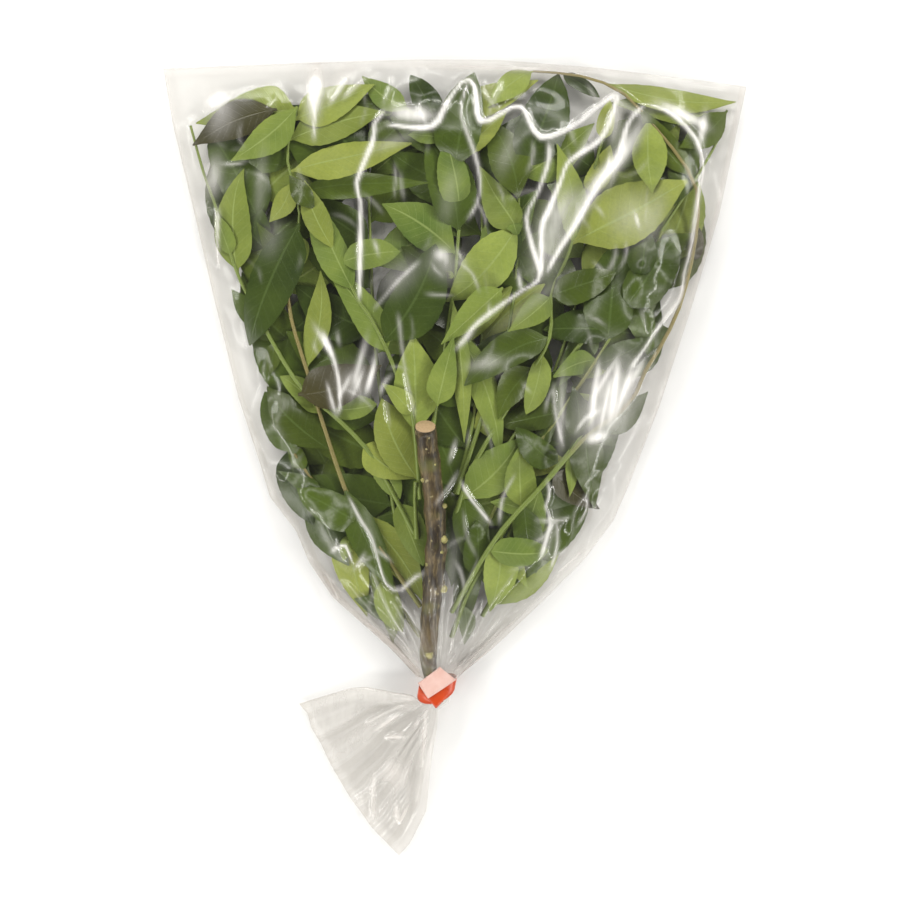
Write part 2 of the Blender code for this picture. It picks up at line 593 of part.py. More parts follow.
def neck_way():
    """Directions along the neck, towards the mouth, and across it."""
    way = math.radians(TAPE_HEADING)
    return np.array([math.cos(way), math.sin(way)]), np.array([-math.sin(way), math.cos(way)])


def flat_ring(centre, across, half_width, height, half_height, count):
    """Points round a flattened ring that stands on a line across the neck."""
    ring = []
    for i in range(count):
        turn = math.pi * (1 - (2 * i + 1) / count)
        flat = math.copysign(abs(math.cos(turn)) ** 0.8, math.cos(turn))
        spot = centre + across * half_width * flat
        ring.append((spot[0], spot[1], height + half_height * math.sin(turn)))
    return ring


def neck_and_mouth(columns):
    """Sections from the gathered neck to the flared open mouth."""
    along, across = neck_way()
    reach = along * (TAPE_WIDTH / 2 + 0.7)
    rings = []
    for centre in (TAPE_CENTRE - reach, TAPE_CENTRE + reach):
        rings.append(flat_ring(centre, across, NECK_HALF_WIDTH, NECK_AXIS_HEIGHT, NECK_HALF_HEIGHT, 2 * columns))
    for x, y, heading, half_width, height, half_height in MOUTH_SECTIONS:
        across = np.array([math.cos(math.radians(heading)), math.sin(math.radians(heading))])
        rings.append(flat_ring(np.array([x, y]), across, half_width, height, half_height, 2 * columns))
    return rings


def neck_tape(collection):
    """The band of tape: a flattened tube round the gathered film, open at both ends."""
    along, across = neck_way()
    shape = bmesh.new()
    loops = []
    for thick, end in ((TAPE_THICK, -1), (TAPE_THICK, 1), (0, 1), (0, -1)):
        more = TAPE_GAP + thick
        ring = flat_ring(TAPE_CENTRE + along * end * TAPE_WIDTH / 2, across, NECK_HALF_WIDTH + more,
                         NECK_AXIS_HEIGHT, NECK_HALF_HEIGHT + more, 20)
        loops.append([shape.verts.new(np.array(point) * MM) for point in ring])
    for first, second in zip(loops, loops[1:] + loops[:1]):
        for i in range(20):
            shape.faces.new((first[i], first[(i + 1) % 20], second[(i + 1) % 20], second[i]))
    bmesh.ops.recalc_face_normals(shape, faces=shape.faces)
    mesh = bpy.data.meshes.new("neck_tape")
    shape.to_mesh(mesh)
    shape.free()
    return new_object("neck_tape", mesh, collection, material("tape", roughness=0.35))


def loose_stalk(pile, collection):
    points = np.array([(x, y, pile.highest(x, y, 1) + 1.6) for x, y in LOOSE_STALK])
    pile.add(stalk_ribbon(points, np.array(LOOSE_STALK_RADII)), LOOSE_STALK_RADII[-1])
    return tube("loose_stalk", points, LOOSE_STALK_RADII, collection, material("stalk"), sides=2)


def main():
    clear_scene()
    collection = bpy.data.collections.new("curry_leaf_sprigs")
    bpy.context.scene.collection.children.link(collection)
    pile = Pile()
    for number, (name, layer, route) in enumerate(LOW_LEAVES):
        compound_leaf(name, number, layer, route, low_leaflets(route, number), pile, collection)
    for number, (name, layer, route, leaflets) in enumerate(PLACED_LEAVES):
        compound_leaf(name, number + 6, layer, route, leaflets, pile, collection)
    for number, (name, base, tip, width, side) in enumerate(LOOSE_LEAFLETS):
        loose_leaflet(name, number, base, tip, width, side, pile, collection)
    main_stem(pile, collection)
    loose_stalk(pile, collection)
    bag(pile, collection)
    neck_tape(collection)


main()
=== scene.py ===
"""Curry leaf sprigs in a clear film bag: the finished look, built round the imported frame.

The leaves are laid into the bag one after another, lowest first, over a height map of the pile, as
in the frame, and the film then settles over them.  Plans are in millimetres, meshes in metres.
"""
import math

import bmesh
import bpy
import numpy as np
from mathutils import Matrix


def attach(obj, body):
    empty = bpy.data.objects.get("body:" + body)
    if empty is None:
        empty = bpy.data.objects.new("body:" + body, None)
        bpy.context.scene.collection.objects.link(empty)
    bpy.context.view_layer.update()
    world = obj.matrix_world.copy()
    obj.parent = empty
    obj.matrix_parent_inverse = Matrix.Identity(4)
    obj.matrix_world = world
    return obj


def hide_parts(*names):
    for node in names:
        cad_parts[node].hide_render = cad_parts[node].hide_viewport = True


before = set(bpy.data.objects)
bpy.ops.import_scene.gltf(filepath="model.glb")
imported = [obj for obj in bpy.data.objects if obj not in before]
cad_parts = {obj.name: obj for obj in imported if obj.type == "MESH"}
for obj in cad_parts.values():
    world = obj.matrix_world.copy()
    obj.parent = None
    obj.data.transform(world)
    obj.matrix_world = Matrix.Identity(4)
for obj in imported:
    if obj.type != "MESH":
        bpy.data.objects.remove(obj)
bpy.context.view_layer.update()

MM = 0.001
rng = np.random.default_rng(20)
materials = {}
blanks = {}

# --- room --------------------------------------------------------------------------------------

CAMERA_PLACE = (0.0002, 0.0004, 0.981)
CAMERA_LENS, CAMERA_SENSOR = 100, 36
FLOOR_SIZE, FLOOR_HEIGHT, FLOOR_COLOUR = 6.0, -0.0006, (0.77, 0.77, 0.77, 1)
ROOM_COLOUR, ROOM_LIGHT = (1.0, 0.99, 0.96, 1), 0.12
LAMP_COUNT, LAMP_SIZE, LAMP_COLOUR = 8, (0.60, 0.14), (1.0, 0.985, 0.95)
LAMP_POWER, LAMP_POWER_SPREAD, STRONGEST_LAMP = 3.6, 0.05, 125
LAMP_DISTANCE, LAMP_HEIGHT, LAMP_TILT = 0.85, 0.46, 62

# --- plans -------------------------------------------------------------------------------------

# The bag's sealed end and its two sides, and how the film lies over what is in it
BAG_TOP = [(-113.6, 150.2), (-60, 152.4), (-14, 153.8), (17, 153.6), (55, 150.5), (94, 145.7),
           (112.5, 143.2)]
BAG_LEFT_SIDE = [(-15.3, -84), (-26, -73), (-48, -53.5), (-57, -40), (-62, -28), (-72, -15),
                 (-75.5, -3), (-84, 23), (-93.3, 61), (-102, 99), (-109.6, 131), (-113.6, 155)]
BAG_RIGHT_SIDE = [(0.8, -84), (11, -76), (19, -69), (34, -54.6), (49.2, -39.2), (60.5, -23.7), (67, -8.3),
                  (78.5, 22.5), (90.5, 61), (101.5, 100), (112.5, 155)]
NECK_START = -84.0
BAG_END = 152.0
EDGE_HEIGHT = 1.4
FILM_CLEARANCE = 1.0
FILM_SLOPE, NECK_SLOPE, EDGE_SLOPE = 0.30, 0.55, 1.3
STEEP_EDGE, STEEPER = 18, 0.9
FILM_SAG, EDGE_SAG = 0.0015, 0.018

# The neck under the tape: an oval tube, its heading in degrees
NECK_CENTRE = (-8.0, -90.8)
NECK_HEADING = 260.0
NECK_HALF_WIDTH = 6.0
NECK_HALF_HEIGHT = 3.6
NECK_AXIS_HEIGHT = 4.75
NECK_REACH, NECK_RINGS = (-5.0, 2.0), 8
NECK_WAY = math.radians(NECK_HEADING)
NECK_ALONG = np.array([math.cos(NECK_WAY), math.sin(NECK_WAY)])
NECK_ACROSS = np.array([-math.sin(NECK_WAY), math.cos(NECK_WAY)])
# Where the flared mouth's left and right borders run, from the tape to the open rim
MOUTH_LEFT = [(-13.6, -93.2), (-17.5, -91.0), (-23.5, -90.2), (-34.5, -88.2), (-40.7, -88.6),
              (-60.8, -94.8)]
MOUTH_RIGHT = [(-7.1, -96.1), (-7.3, -102.5), (-8.4, -108.6), (-9.8, -117.5), (-10.4, -123.0),
               (-11.6, -136.0), (-18.0, -148.8), (-22.2, -153.4)]
MOUTH_RIM = [(-60.8, -94.8), (-57.3, -99.0), (-56.2, -104.0), (-52.3, -110.2), (-48.4, -118.7),
             (-41.5, -130.3), (-32.3, -143.0), (-22.2, -153.4)]

# The main stem's axis from its low end up, and its radius at each of those places
STEM_ROUTE = [(-9.0, -88), (-10.9, -77), (-10.4, -63), (-8.6, -48), (-7.6, -30), (-8.6, -14), (-10.6, 1),
              (-11.8, 12)]
STEM_RADII = [2.5, 3.2, 3.6, 3.9, 3.7, 3.9, 4.0, 4.2]
# Buds and scars of the stem: how far up it, the way they point, length, radius, how steeply they stand
STEM_BUDS = [(-18.5, 5, 4.6, 1.1, 0.45), (-29.0, -35, 4.6, 1.5, 0.55), (-32.5, -60, 4.2, 1.2, 0.8),
             (-48.5, -20, 5.2, 1.6, 0.45), (-39, 205, 4.0, 1.0, 0.45), (-9, 170, 4.2, 0.9, 0.6),
             (-78.0, 85, 3.9, 1.7, 0.95), (-5.0, 60, 3.4, 0.8, 1.15), (-56.0, 100, 3.2, 0.9, 1.2)]
# Where the stem swells at its nodes, and by how much
STEM_SWELLS = ((-0.5, 0.5), (-21, 0.6), (-35, 0.7), (-48, 0.6))
STEM_SWELL_LENGTH = 2.2
STEM_STATIONS, STEM_SIDES = 48, 32
STEM_RIDGES = (5, 8, 13, 19)
STEM_CUT_SLANT, STEM_CUT_ROUNDING = 0.6, 0.93
STEM_LOW_END = 4.9
STEM_HIGH_END = 17.6

# How the pile lies: leaflets rest a gap above what is under them, and its crown falls towards the edges
LEAF_GAP = 0.40
SETTLE_PASSES, SETTLE_SLACK = 160, 0.03
STALK_BASE_RADIUS = 1.0
STALK_TIP_RADIUS = 0.5
STALK_STEPS = 30
PILE_FLOOR = 1.3
PILE_CROWN = 11.5
CROWN_REACH = 36.0
PLAN_SHRINK = 0.985
# Leaflets are drawn a little wider than the table says, and at least so much longer than wide
FULLER, SLIMMEST = 1.12, 2.05

# The side of a leaflet that lies up.  Fronds: CAD node, layer from 0, lowest, to 1, route of the stalk
LIGHT, DARK, BROWN = "light", "dark", "brown"
LOW_FRONDS = [
    ("compound_leaf_01", 0.00, [(-22, -60), (-34, -40), (-48, -10), (-58, 22), (-69, 60), (-78, 98),
                                (-84, 124)]),
    ("compound_leaf_02", 0.04, [(10, -62), (26, -34), (44, -6), (60, 22), (75, 60), (84, 98), (90, 122)]),
    ("compound_leaf_03", 0.09, [(-16, -52), (-24, -22), (-28, 10), (-32, 48), (-34, 92), (-35, 132)]),
    ("compound_leaf_04", 0.14, [(4, -52), (16, -22), (28, 10), (42, 44), (52, 86), (56, 126)]),
    ("compound_leaf_05", 0.19, [(-6, -46), (-2, -20), (6, 12), (10, 52), (10, 96), (8, 134)]),
]
# Each leaflet: share of the stalk it grows at, x and y of its tip, width, side
PLACED_FRONDS = [
    ("compound_leaf_06", 0.28, [(-14, -70), (-24, -55), (-33, -40), (-44, -24), (-56, -9), (-66, 6)], [
        (0.45, -22, -68, 13, LIGHT), (0.62, -35, -62, 12, LIGHT), (0.30, -25, -73, 8, LIGHT),
        (0.80, -42, -42, 14, DARK), (0.10, -31, -62, 8, DARK), (0.98, -56, -26, 12, DARK),
        (0.20, -40, -55, 9, DARK), (0.30, -21, -68, 9, LIGHT), (0.38, -33, -24, 9, LIGHT),
        (0.52, -44, -40, 8, LIGHT), (0.60, -43, -22, 8, LIGHT), (0.66, -50, -21, 8, LIGHT),
        (0.74, -70, -5, 6, DARK), (0.86, -64, 7, 12, DARK), (1.00, -75, 26, 11, DARK)]),
    ("compound_leaf_07", 0.34, [(14, -4), (36, 28), (60, 60), (82, 92), (97, 115), (105, 130)], [
        (0.04, 36, -20, 13, DARK), (0.12, 46, -2, 12, LIGHT), (0.22, 62, 4, 12, DARK),
        (0.30, 34, 2, 10, DARK), (0.42, 40, 28, 10, DARK), (0.48, 84, 50, 13, DARK), (0.55, 76, 38, 11, DARK),
        (0.62, 66, 82, 10, DARK), (0.72, 94, 88, 9, DARK), (0.82, 76, 108, 10, DARK),
        (0.92, 93, 126, 11, DARK), (1.00, 60, 139, 9, LIGHT)]),
    ("compound_leaf_08", 0.42, [(4, -46), (16, -18), (38, 14), (57, 42), (68, 64), (80, 88)], [
        (0.04, 3, -70, 9, DARK), (0.12, 10, -46, 13, DARK), (0.20, 30, -40, 13, DARK),
        (0.30, 48, -18, 13, DARK), (0.14, -4, -12, 11, DARK), (0.48, 16, 13, 10, DARK),
        (0.55, 45, 28, 10, DARK),
        (0.64, 37, 31, 14, LIGHT), (0.68, 75, 47, 10, DARK), (0.72, 34, 50, 13, DARK),
        (0.71, 63, 85, 17, DARK), (0.80, 86, 87, 15, DARK), (0.88, 74, 92, 10, DARK)]),
    ("compound_leaf_09", 0.50, [(0, -14), (10, 16), (20, 48), (24, 84), (25, 110), (33, 128)], [
        (0.46, 2, 27, 11, DARK), (0.58, 1, 42, 7, LIGHT), (0.66, 30, 67, 8, DARK),
        (0.70, 11, 99, 11, DARK), (0.74, -4, 61, 16, LIGHT), (0.78, 20, 103, 7, LIGHT),
        (0.84, 9, 114, 12, LIGHT), (0.86, 54, 131, 13, LIGHT), (0.94, 12, 133, 14, DARK),
        (0.90, 40, 150.5, 17, DARK)]),
    ("compound_leaf_10", 0.56, [(-10, 6), (-7, 28), (-3, 52), (0, 78), (1, 104), (-6, 126), (-22, 138)], [
        (0.28, 15, 18, 7, LIGHT), (0.34, 17, -1, 10, LIGHT), (0.40, 3, 6, 7, LIGHT),
        (0.46, -7, 71, 15, LIGHT), (0.56, -29, 99, 15, LIGHT), (0.62, -11, 124, 16, DARK),
        (0.68, -4, 123, 11, LIGHT), (0.78, 20, 136, 9, LIGHT), (0.84, -19, 126, 6, LIGHT),
        (0.92, 32, 148, 11, LIGHT), (0.86, 7, 151, 16, DARK), (0.94, -18, 150, 10, DARK),
        (1.00, -43, 139, 9, DARK), (0.99, -37, 149.5, 9, LIGHT)]),
    ("compound_leaf_11", 0.62, [(-14, -58), (-21, -48), (-30, -35), (-40, -20), (-48, 1), (-57, 30),
                                (-65, 57), (-65, 76), (-61, 94), (-66, 118), (-62, 136)], [
        (0.22, -13, -56, 12, LIGHT), (0.27, -24, -52, 11, DARK), (0.33, -62, -12, 12, DARK),
        (0.36, -67, 12, 4, LIGHT), (0.34, -74, 28, 14, DARK), (0.47, -69, 32, 8, LIGHT),
        (0.50, -53, 73, 9, LIGHT), (0.68, -78, 92, 9, DARK), (0.76, -62, 72, 12, LIGHT),
        (0.84, -11, 107, 9, DARK), (0.86, -73, 92, 8, LIGHT), (0.88, -17, 123, 12, LIGHT),
        (0.94, -28, 135, 14, LIGHT), (0.98, -32, 146, 13, LIGHT), (1.00, -102, 131, 17, LIGHT)]),
    ("compound_leaf_12", 0.70, [(-14, -34), (-23, -17), (-33, 1), (-46, 15), (-60, 27), (-70, 42),
                                (-77, 55), (-86, 73), (-94, 98), (-99, 112), (-104, 130)], [
        (0.10, -13, -42, 10, LIGHT), (0.20, -22, -16, 11, LIGHT), (0.24, -16, -8, 17, LIGHT),
        (0.34, -31, 21, 13, LIGHT), (0.52, -73, 33, 9, DARK), (0.56, -88, 66, 8, DARK),
        (0.68, -83, 113, 13, LIGHT), (0.72, -94, 95, 6, LIGHT)]),
    ("compound_leaf_13", 0.76, [(-1, -24), (6, -4), (24, 26), (36, 46), (37, 64), (43, 78), (50, 100),
                                (57, 124)], [
        (0.02, -2, -50, 13, DARK), (0.08, 14, -52, 12, DARK),
        (0.05, 24.5, 8, 17, LIGHT), (0.42, 16, 15, 14, DARK), (0.46, 27, 17, 8, LIGHT),
        (0.50, 3, 28, 12, DARK), (0.60, 20, 49, 10, LIGHT), (0.66, 44, 62, 9, DARK),
        (0.70, 62, 72, 11, DARK), (0.74, 39, 122, 10, LIGHT), (0.78, 50, 105, 9, LIGHT),
        (0.90, 60, 122, 8, LIGHT), (0.76, 90, 108, 21, LIGHT), (1.00, 60, 140, 6, LIGHT)]),
    ("compound_leaf_14", 0.82, [(-2, -70), (5, -51), (17, -31), (26, -19), (36, -7), (48, 8), (60, 26)], [
        (0.12, 3, -73, 6, DARK), (0.30, 8, -24, 9, DARK), (0.36, 12, -51, 8, LIGHT),
        (0.44, 28, -51, 6, LIGHT), (0.50, 13, -17, 7, LIGHT), (0.54, 25, 6, 11, LIGHT),
        (0.60, 21, -49, 11, LIGHT), (0.66, 56, -20, 13, BROWN), (0.70, 23, 12, 12, DARK),
        (0.74, 44, -15, 4, LIGHT), (0.84, 54, -20, 12, DARK), (0.88, 45, 28, 9, DARK),
        (1.00, 66, 34, 10, DARK)]),
    ("compound_leaf_15", 0.88, [(-14, -16), (-17, 16), (-23, 32), (-28, 44), (-33, 54), (-39, 63),
                                (-48, 82), (-57, 101)], [
        (0.20, -29, 23, 14, LIGHT), (0.26, -17, 48, 16, LIGHT), (0.34, -29, 29, 7, LIGHT),
        (0.46, -52, 76, 11, LIGHT), (0.60, -8, 83, 18, DARK), (0.68, -55, 99, 11, LIGHT),
        (0.78, -22, 80, 12, LIGHT), (0.82, -59, 108, 9, LIGHT), (1.00, -65, 110, 7, DARK)]),
    ("compound_leaf_16", 0.92, [(-2, -60), (16, -30), (34, -10), (50, 8), (67, 21), (74, 35), (81, 46),
                                (88, 62), (93, 84), (94, 102), (89, 114), (77, 129), (64, 143),
                                (48, 149.5), (30, 151.5)], [
        (0.13, 13, -60, 12, LIGHT), (0.18, 31, -45, 10, DARK), (0.10, 36, -36, 10, LIGHT),
        (0.34, 75, 26, 10, DARK), (0.62, 95, 90, 5, BROWN), (0.72, 71, 137, 9, DARK),
        (0.82, 76, 103, 12, LIGHT), (0.90, 109.5, 139.5, 9, LIGHT), (0.96, 56, 141, 5, DARK),
        (1.00, 12, 137, 9, LIGHT)]),
]
# CAD node, base, tip, width, side
SHED_LEAFLETS = [
    ("leaflet_dark_left", (-61, 91), (-81, 44), 18, DARK),
    ("leaflet_brown_left", (-61.5, 24.5), (-29, 36), 19, BROWN),
    ("leaflet_brown_corner", (-70, 136), (-103, 122), 15, BROWN),
    ("leaflet_light_corner", (-62, 137), (-88, 116), 13, LIGHT),
    ("leaflet_light_middle", (18, 66), (-6, 44), 12, LIGHT),
    ("leaflet_light_stem", (-7.5, 20), (-1, 47), 11, LIGHT),
    ("leaflet_corner_right", (106, 136), (87, 121), 13, DARK),
]
SHED_TONES = {"leaflet_dark_left": 0.0, "leaflet_brown_corner": 0.2, "leaflet_brown_left": 0.1}
LOOSE_STALK = [(-15.6, -9), (-15.9, -16), (-15.5, -24), (-15.1, -31)]
LOOSE_STALK_RADII = [0.8, 0.8, 0.9, 1.2]


# --- camera, floor and light -------------------------------------------------------------------

def studio():
    """A camera that looks straight down, a pale floor and a ring of soft boxes."""
    view = bpy.data.cameras.new("camera")
    view.lens, view.sensor_width = CAMERA_LENS, CAMERA_SENSOR
    camera = linked("camera", view)
    camera.location = CAMERA_PLACE
    bpy.context.scene.camera = camera

    deselect()
    bpy.ops.mesh.primitive_plane_add(size=FLOOR_SIZE, location=(0, 0, FLOOR_HEIGHT))
    floor = bpy.context.object
    floor.name = "floor"
    paint = bpy.data.materials.new("floor_white")
    paint.use_nodes = True
    shader = paint.node_tree.nodes["Principled BSDF"]
    shader.inputs["Base Color"].default_value = FLOOR_COLOUR
    shader.inputs["Roughness"].default_value = 0.9
    shader.inputs["Specular IOR Level"].default_value = 0.1
    floor.data.materials.append(paint)

    world = bpy.data.worlds.new("room")
    bpy.context.scene.world = world
    world.use_nodes = True
    world.node_tree.nodes["Background"].inputs["Color"].default_value = ROOM_COLOUR
    world.node_tree.nodes["Background"].inputs["Strength"].default_value = ROOM_LIGHT
    for index in range(LAMP_COUNT):
        way = math.radians(22.5 + 45 * index)
        lamp = bpy.data.lights.new(f"softbox_{index}", "AREA")
        lamp.shape = "RECTANGLE"
        lamp.size, lamp.size_y = LAMP_SIZE
        lamp.energy = LAMP_POWER * (1 + LAMP_POWER_SPREAD * math.cos(way - math.radians(STRONGEST_LAMP)))
        lamp.color = LAMP_COLOUR
        box = linked(f"softbox_{index}", lamp)
        box.location = (LAMP_DISTANCE * math.cos(way), LAMP_DISTANCE * math.sin(way), LAMP_HEIGHT)
        box.rotation_euler = (math.radians(LAMP_TILT), 0, way + math.pi / 2)
    bpy.context.scene.view_settings.view_transform = "Standard"


# --- ways of working ---------------------------------------------------------------------------

def linked(name, data):
    """A new object in the scene."""
    made = bpy.data.objects.new(name, data)
    bpy.context.scene.collection.objects.link(made)
    return made


def deselect():
    """Nothing selected and nothing active."""
    if bpy.context.object and bpy.context.object.mode != "OBJECT":
        bpy.ops.object.mode_set(mode="OBJECT")
    bpy.ops.object.select_all(action="DESELECT")
    bpy.context.view_layer.objects.active = None


def place_applied():
    """The active object's place, turn and size moved into its mesh."""
    bpy.ops.object.transform_apply(location=True, rotation=True, scale=True)


def walled(piece, thickness, offset, finishes, **slots):
    """The active object's surface given its finishes, a thickness and smooth shading."""
    for finish in finishes:
        piece.data.materials.append(materials[finish])
    piece.data.shade_smooth()
    wall = piece.modifiers.new("wall", "SOLIDIFY")
    wall.thickness, wall.offset = thickness, offset
    for name, slot in slots.items():
        setattr(wall, name, slot)
    bpy.ops.object.modifier_apply(modifier="wall")


def marked(mesh, name, values):
    """A number for each corner of a mesh, for its material to read."""
    mark = mesh.attributes.new(name, "FLOAT", "POINT")
    mark.data.foreach_set("value", np.asarray(values, dtype=np.float32))


# --- the bag's outline -------------------------------------------------------------------------

def x_at(route, y):
    """X at a height Y of the plan, of a side of the bag or of the stem."""
    return np.interp(y, [point[1] for point in route], [point[0] for point in route])


def seal_y(x):
    """Y of the sealed end at X, a shallow bow between its corners."""
    return np.interp(x, *zip(*BAG_TOP))


def inset(x, y):
    """Distance from the bag's nearest edge, for points inside it."""
    left = x - x_at(BAG_LEFT_SIDE, y)
    right = x_at(BAG_RIGHT_SIDE, y) - x
    return np.maximum(np.minimum(np.minimum(left, right), seal_y(x) - y), 0.0)


def layer_height(x, y, layer):
    """Height at which a layer of the pile would lie if nothing were in its way."""
    fullness = 1.0 - np.exp(-(inset(x, y) / CROWN_REACH) ** 1.5)
    return PILE_FLOOR + layer * PILE_CROWN * fullness


def stem_height(y):
    """Height of the main stem's axis."""
    low, high = STEM_ROUTE[0][1], STEM_ROUTE[-1][1]
    share = min(max((y - low) / (high - low), 0.0), 1.0)
    return STEM_LOW_END + (STEM_HIGH_END - STEM_LOW_END) * math.sin(share * math.pi / 2)


# --- the pile ----------------------------------------------------------------------------------

class Pile:
    """A height map of what already lies in the bag, on a 1 mm grid."""

    LEFT, FRONT = -120, -100
    SIZE = (240, 262)

    def __init__(self):
        self.height = np.full(self.SIZE, PILE_FLOOR - LEAF_GAP)

    def cell(self, x, y):
        column = np.clip(np.rint(np.asarray(x) - self.LEFT).astype(int), 0, self.SIZE[0] - 1)
        row = np.clip(np.rint(np.asarray(y) - self.FRONT).astype(int), 0, self.SIZE[1] - 1)
        return column, row

    def under(self, x, y):
        """Height of the pile under points of the plan."""
        return self.height[self.cell(x, y)]

    def highest(self, x, y, reach):
        """Highest point of the pile within reach of a point of the plan."""
        column, row = self.cell(x, y)
        window = self.height[max(column - reach, 0):column + reach + 1, max(row - reach, 0):row + reach + 1]
        return float(window.max())

    def add(self, points, above=0.0):
        """Adds a surface given as close points."""
        column, row = self.cell(points[:, 0], points[:, 1])
        np.maximum.at(self.height, (column, row), points[:, 2] + above)


def settle(weights, heights, need, held):
    """Raises a surface's control heights, but for the held ones, until it clears what it needs to."""
    counts = weights[:, held:].sum(axis=1) > 0.4
    weights, need = weights[counts], need[counts]
    for _ in range(SETTLE_PASSES):
        lack = need - weights @ heights
        worst = int(np.argmax(lack))
        if lack[worst] < SETTLE_SLACK:
            break
        pull = weights[worst].copy()
        pull[:held] = 0
        heights = heights + lack[worst] * pull / (pull @ pull)
    return heights


def travelled(line):
    """Length along a line up to each of its points."""
    return np.concatenate([[0], np.cumsum(np.linalg.norm(np.diff(np.array(line), axis=0), axis=1))])


def points_at(line, lengths):
    """Points at the lengths along a line."""
    return filled_in(np.array(line, float), travelled(line), lengths)


def smooth_route(route, steps):
    """Points evenly along a Catmull-Rom curve through the route."""
    points = [np.array(point, float) * PLAN_SHRINK for point in route]
    points = [2 * points[0] - points[1]] + points + [2 * points[-1] - points[-2]]
    fine = []
    for p0, p1, p2, p3 in zip(points, points[1:], points[2:], points[3:]):
        for t in np.linspace(0, 1, 12, endpoint=False):
            fine.append(0.5 * (2 * p1 + (p2 - p0) * t + (2 * p0 - 5 * p1 + 4 * p2 - p3) * t ** 2
                               + (3 * p1 - p0 - 3 * p2 + p3) * t ** 3))
    fine.append(points[-2])
    return points_at(fine, np.linspace(0, travelled(fine)[-1], steps + 1))


def spline_weights(knots, places):
    """How much each knot of a natural cubic spline counts at the places."""
    knots = np.asarray(knots, float)
    count = len(knots)
    gaps = np.diff(knots)
    left, right = np.zeros((count, count)), np.zeros((count, count))
    left[0, 0] = left[-1, -1] = 1
    for i in range(1, count - 1):
        left[i, i - 1:i + 2] = gaps[i - 1], 2 * (gaps[i - 1] + gaps[i]), gaps[i]
        right[i, i - 1] = 6 / gaps[i - 1]
        right[i, i] = -6 / gaps[i - 1] - 6 / gaps[i]
        right[i, i + 1] = 6 / gaps[i]
    bends = np.linalg.solve(left, right)
    places = np.clip(places, knots[0], knots[-1])
    span = np.clip(np.searchsorted(knots, places, side="right") - 1, 0, count - 2)
    gap = gaps[span]
    after, before = places - knots[span], knots[span + 1] - places
    table = np.zeros((len(places), count))
    rows = np.arange(len(places))
    table[rows, span] = before / gap
    table[rows, span + 1] = after / gap
    table += ((before ** 3 / gap - before * gap) / 6)[:, None] * bends[span]
    table += ((after ** 3 / gap - after * gap) / 6)[:, None] * bends[span + 1]
    return table


# --- leaflets ----------------------------------------------------------------------------------

LEAF_KNOTS = [0.0, 0.28, 0.60, 0.86, 1.0]
BLANK_ROWS, BLANK_COLUMNS = 22, 8
EDGE_TEETH = (-0.008, 0.018)
OUTLINES = {                    # half width along a leaflet, as shares of its widest
    "slender": [(0, 0.07), (0.05, 0.09), (0.12, 0.38), (0.22, 0.74), (0.34, 0.96), (0.44, 1.0), (0.58, 0.92),
                (0.72, 0.68), (0.84, 0.40), (0.93, 0.17), (1, 0.03)],
    "oval": [(0, 0.06), (0.04, 0.08), (0.09, 0.42), (0.18, 0.82), (0.30, 0.98), (0.44, 1.0), (0.60, 0.93),
             (0.74, 0.76), (0.86, 0.50), (0.94, 0.24), (1, 0.03)],
    "egg": [(0, 0.06), (0.04, 0.08), (0.09, 0.46), (0.17, 0.86), (0.27, 1.0), (0.40, 0.98), (0.56, 0.83),
            (0.71, 0.58), (0.84, 0.32), (0.93, 0.14), (1, 0.02)],
}
OUTLINE_NAMES = ("oval", "egg", "slender")
# How leaflets differ, as ranges of even draws, in shares of their length or width
BOW, SKEW, SHIFT = (-0.085, 0.085), (-0.16, 0.16), (-0.05, 0.06)
RIPPLE, ROLL, CURL = (0.2, 0.7), (-0.22, 0.22), (-0.5, 1.4)
CUP = {DARK: (0.08, 0.34), LIGHT: (-0.30, 0.05), BROWN: (-0.30, 0.05)}
FOLDED_SHARE, FOLDED_CUP = 0.12, 0.22
FLAT_NEAR_EDGE = 30
BLANK_WALL, LEAF_HALF_WALL = 0.01, 0.14
HIGHEST_OVER_PILE = 0.8


def leaf_blank(name):
    """A flat leaflet, 1 long and 1 wide, with the side that is up in its first material slot."""
    deselect()
    bpy.ops.mesh.primitive_grid_add(x_subdivisions=BLANK_ROWS, y_subdivisions=BLANK_COLUMNS, size=1.0,
                                    location=(0.5, 0, 0))
    place_applied()
    blank = bpy.context.object
    blank.name = name
    places, widths = zip(*OUTLINES[name])
    for row in range(BLANK_ROWS + 1):
        place = row / BLANK_ROWS
        bpy.ops.object.mode_set(mode="EDIT")
        bpy.ops.mesh.select_all(action="DESELECT")
        bpy.ops.object.mode_set(mode="OBJECT")
        for corner in blank.data.vertices:
            corner.select = abs(corner.co.x - place) < 1e-4
        width = float(np.interp(place, places, widths)) * (1.0 + EDGE_TEETH[row % 2])
        bpy.ops.object.mode_set(mode="EDIT")
        bpy.ops.transform.resize(value=(1, width, 1), center_override=(place, 0, 0))
        bpy.ops.object.mode_set(mode="OBJECT")
    walled(blank, BLANK_WALL, 0, ("leaf_upper", "leaf_under"), material_offset=1)
    blank.data.set_sharp_from_angle(angle=math.radians(60))
    return blank


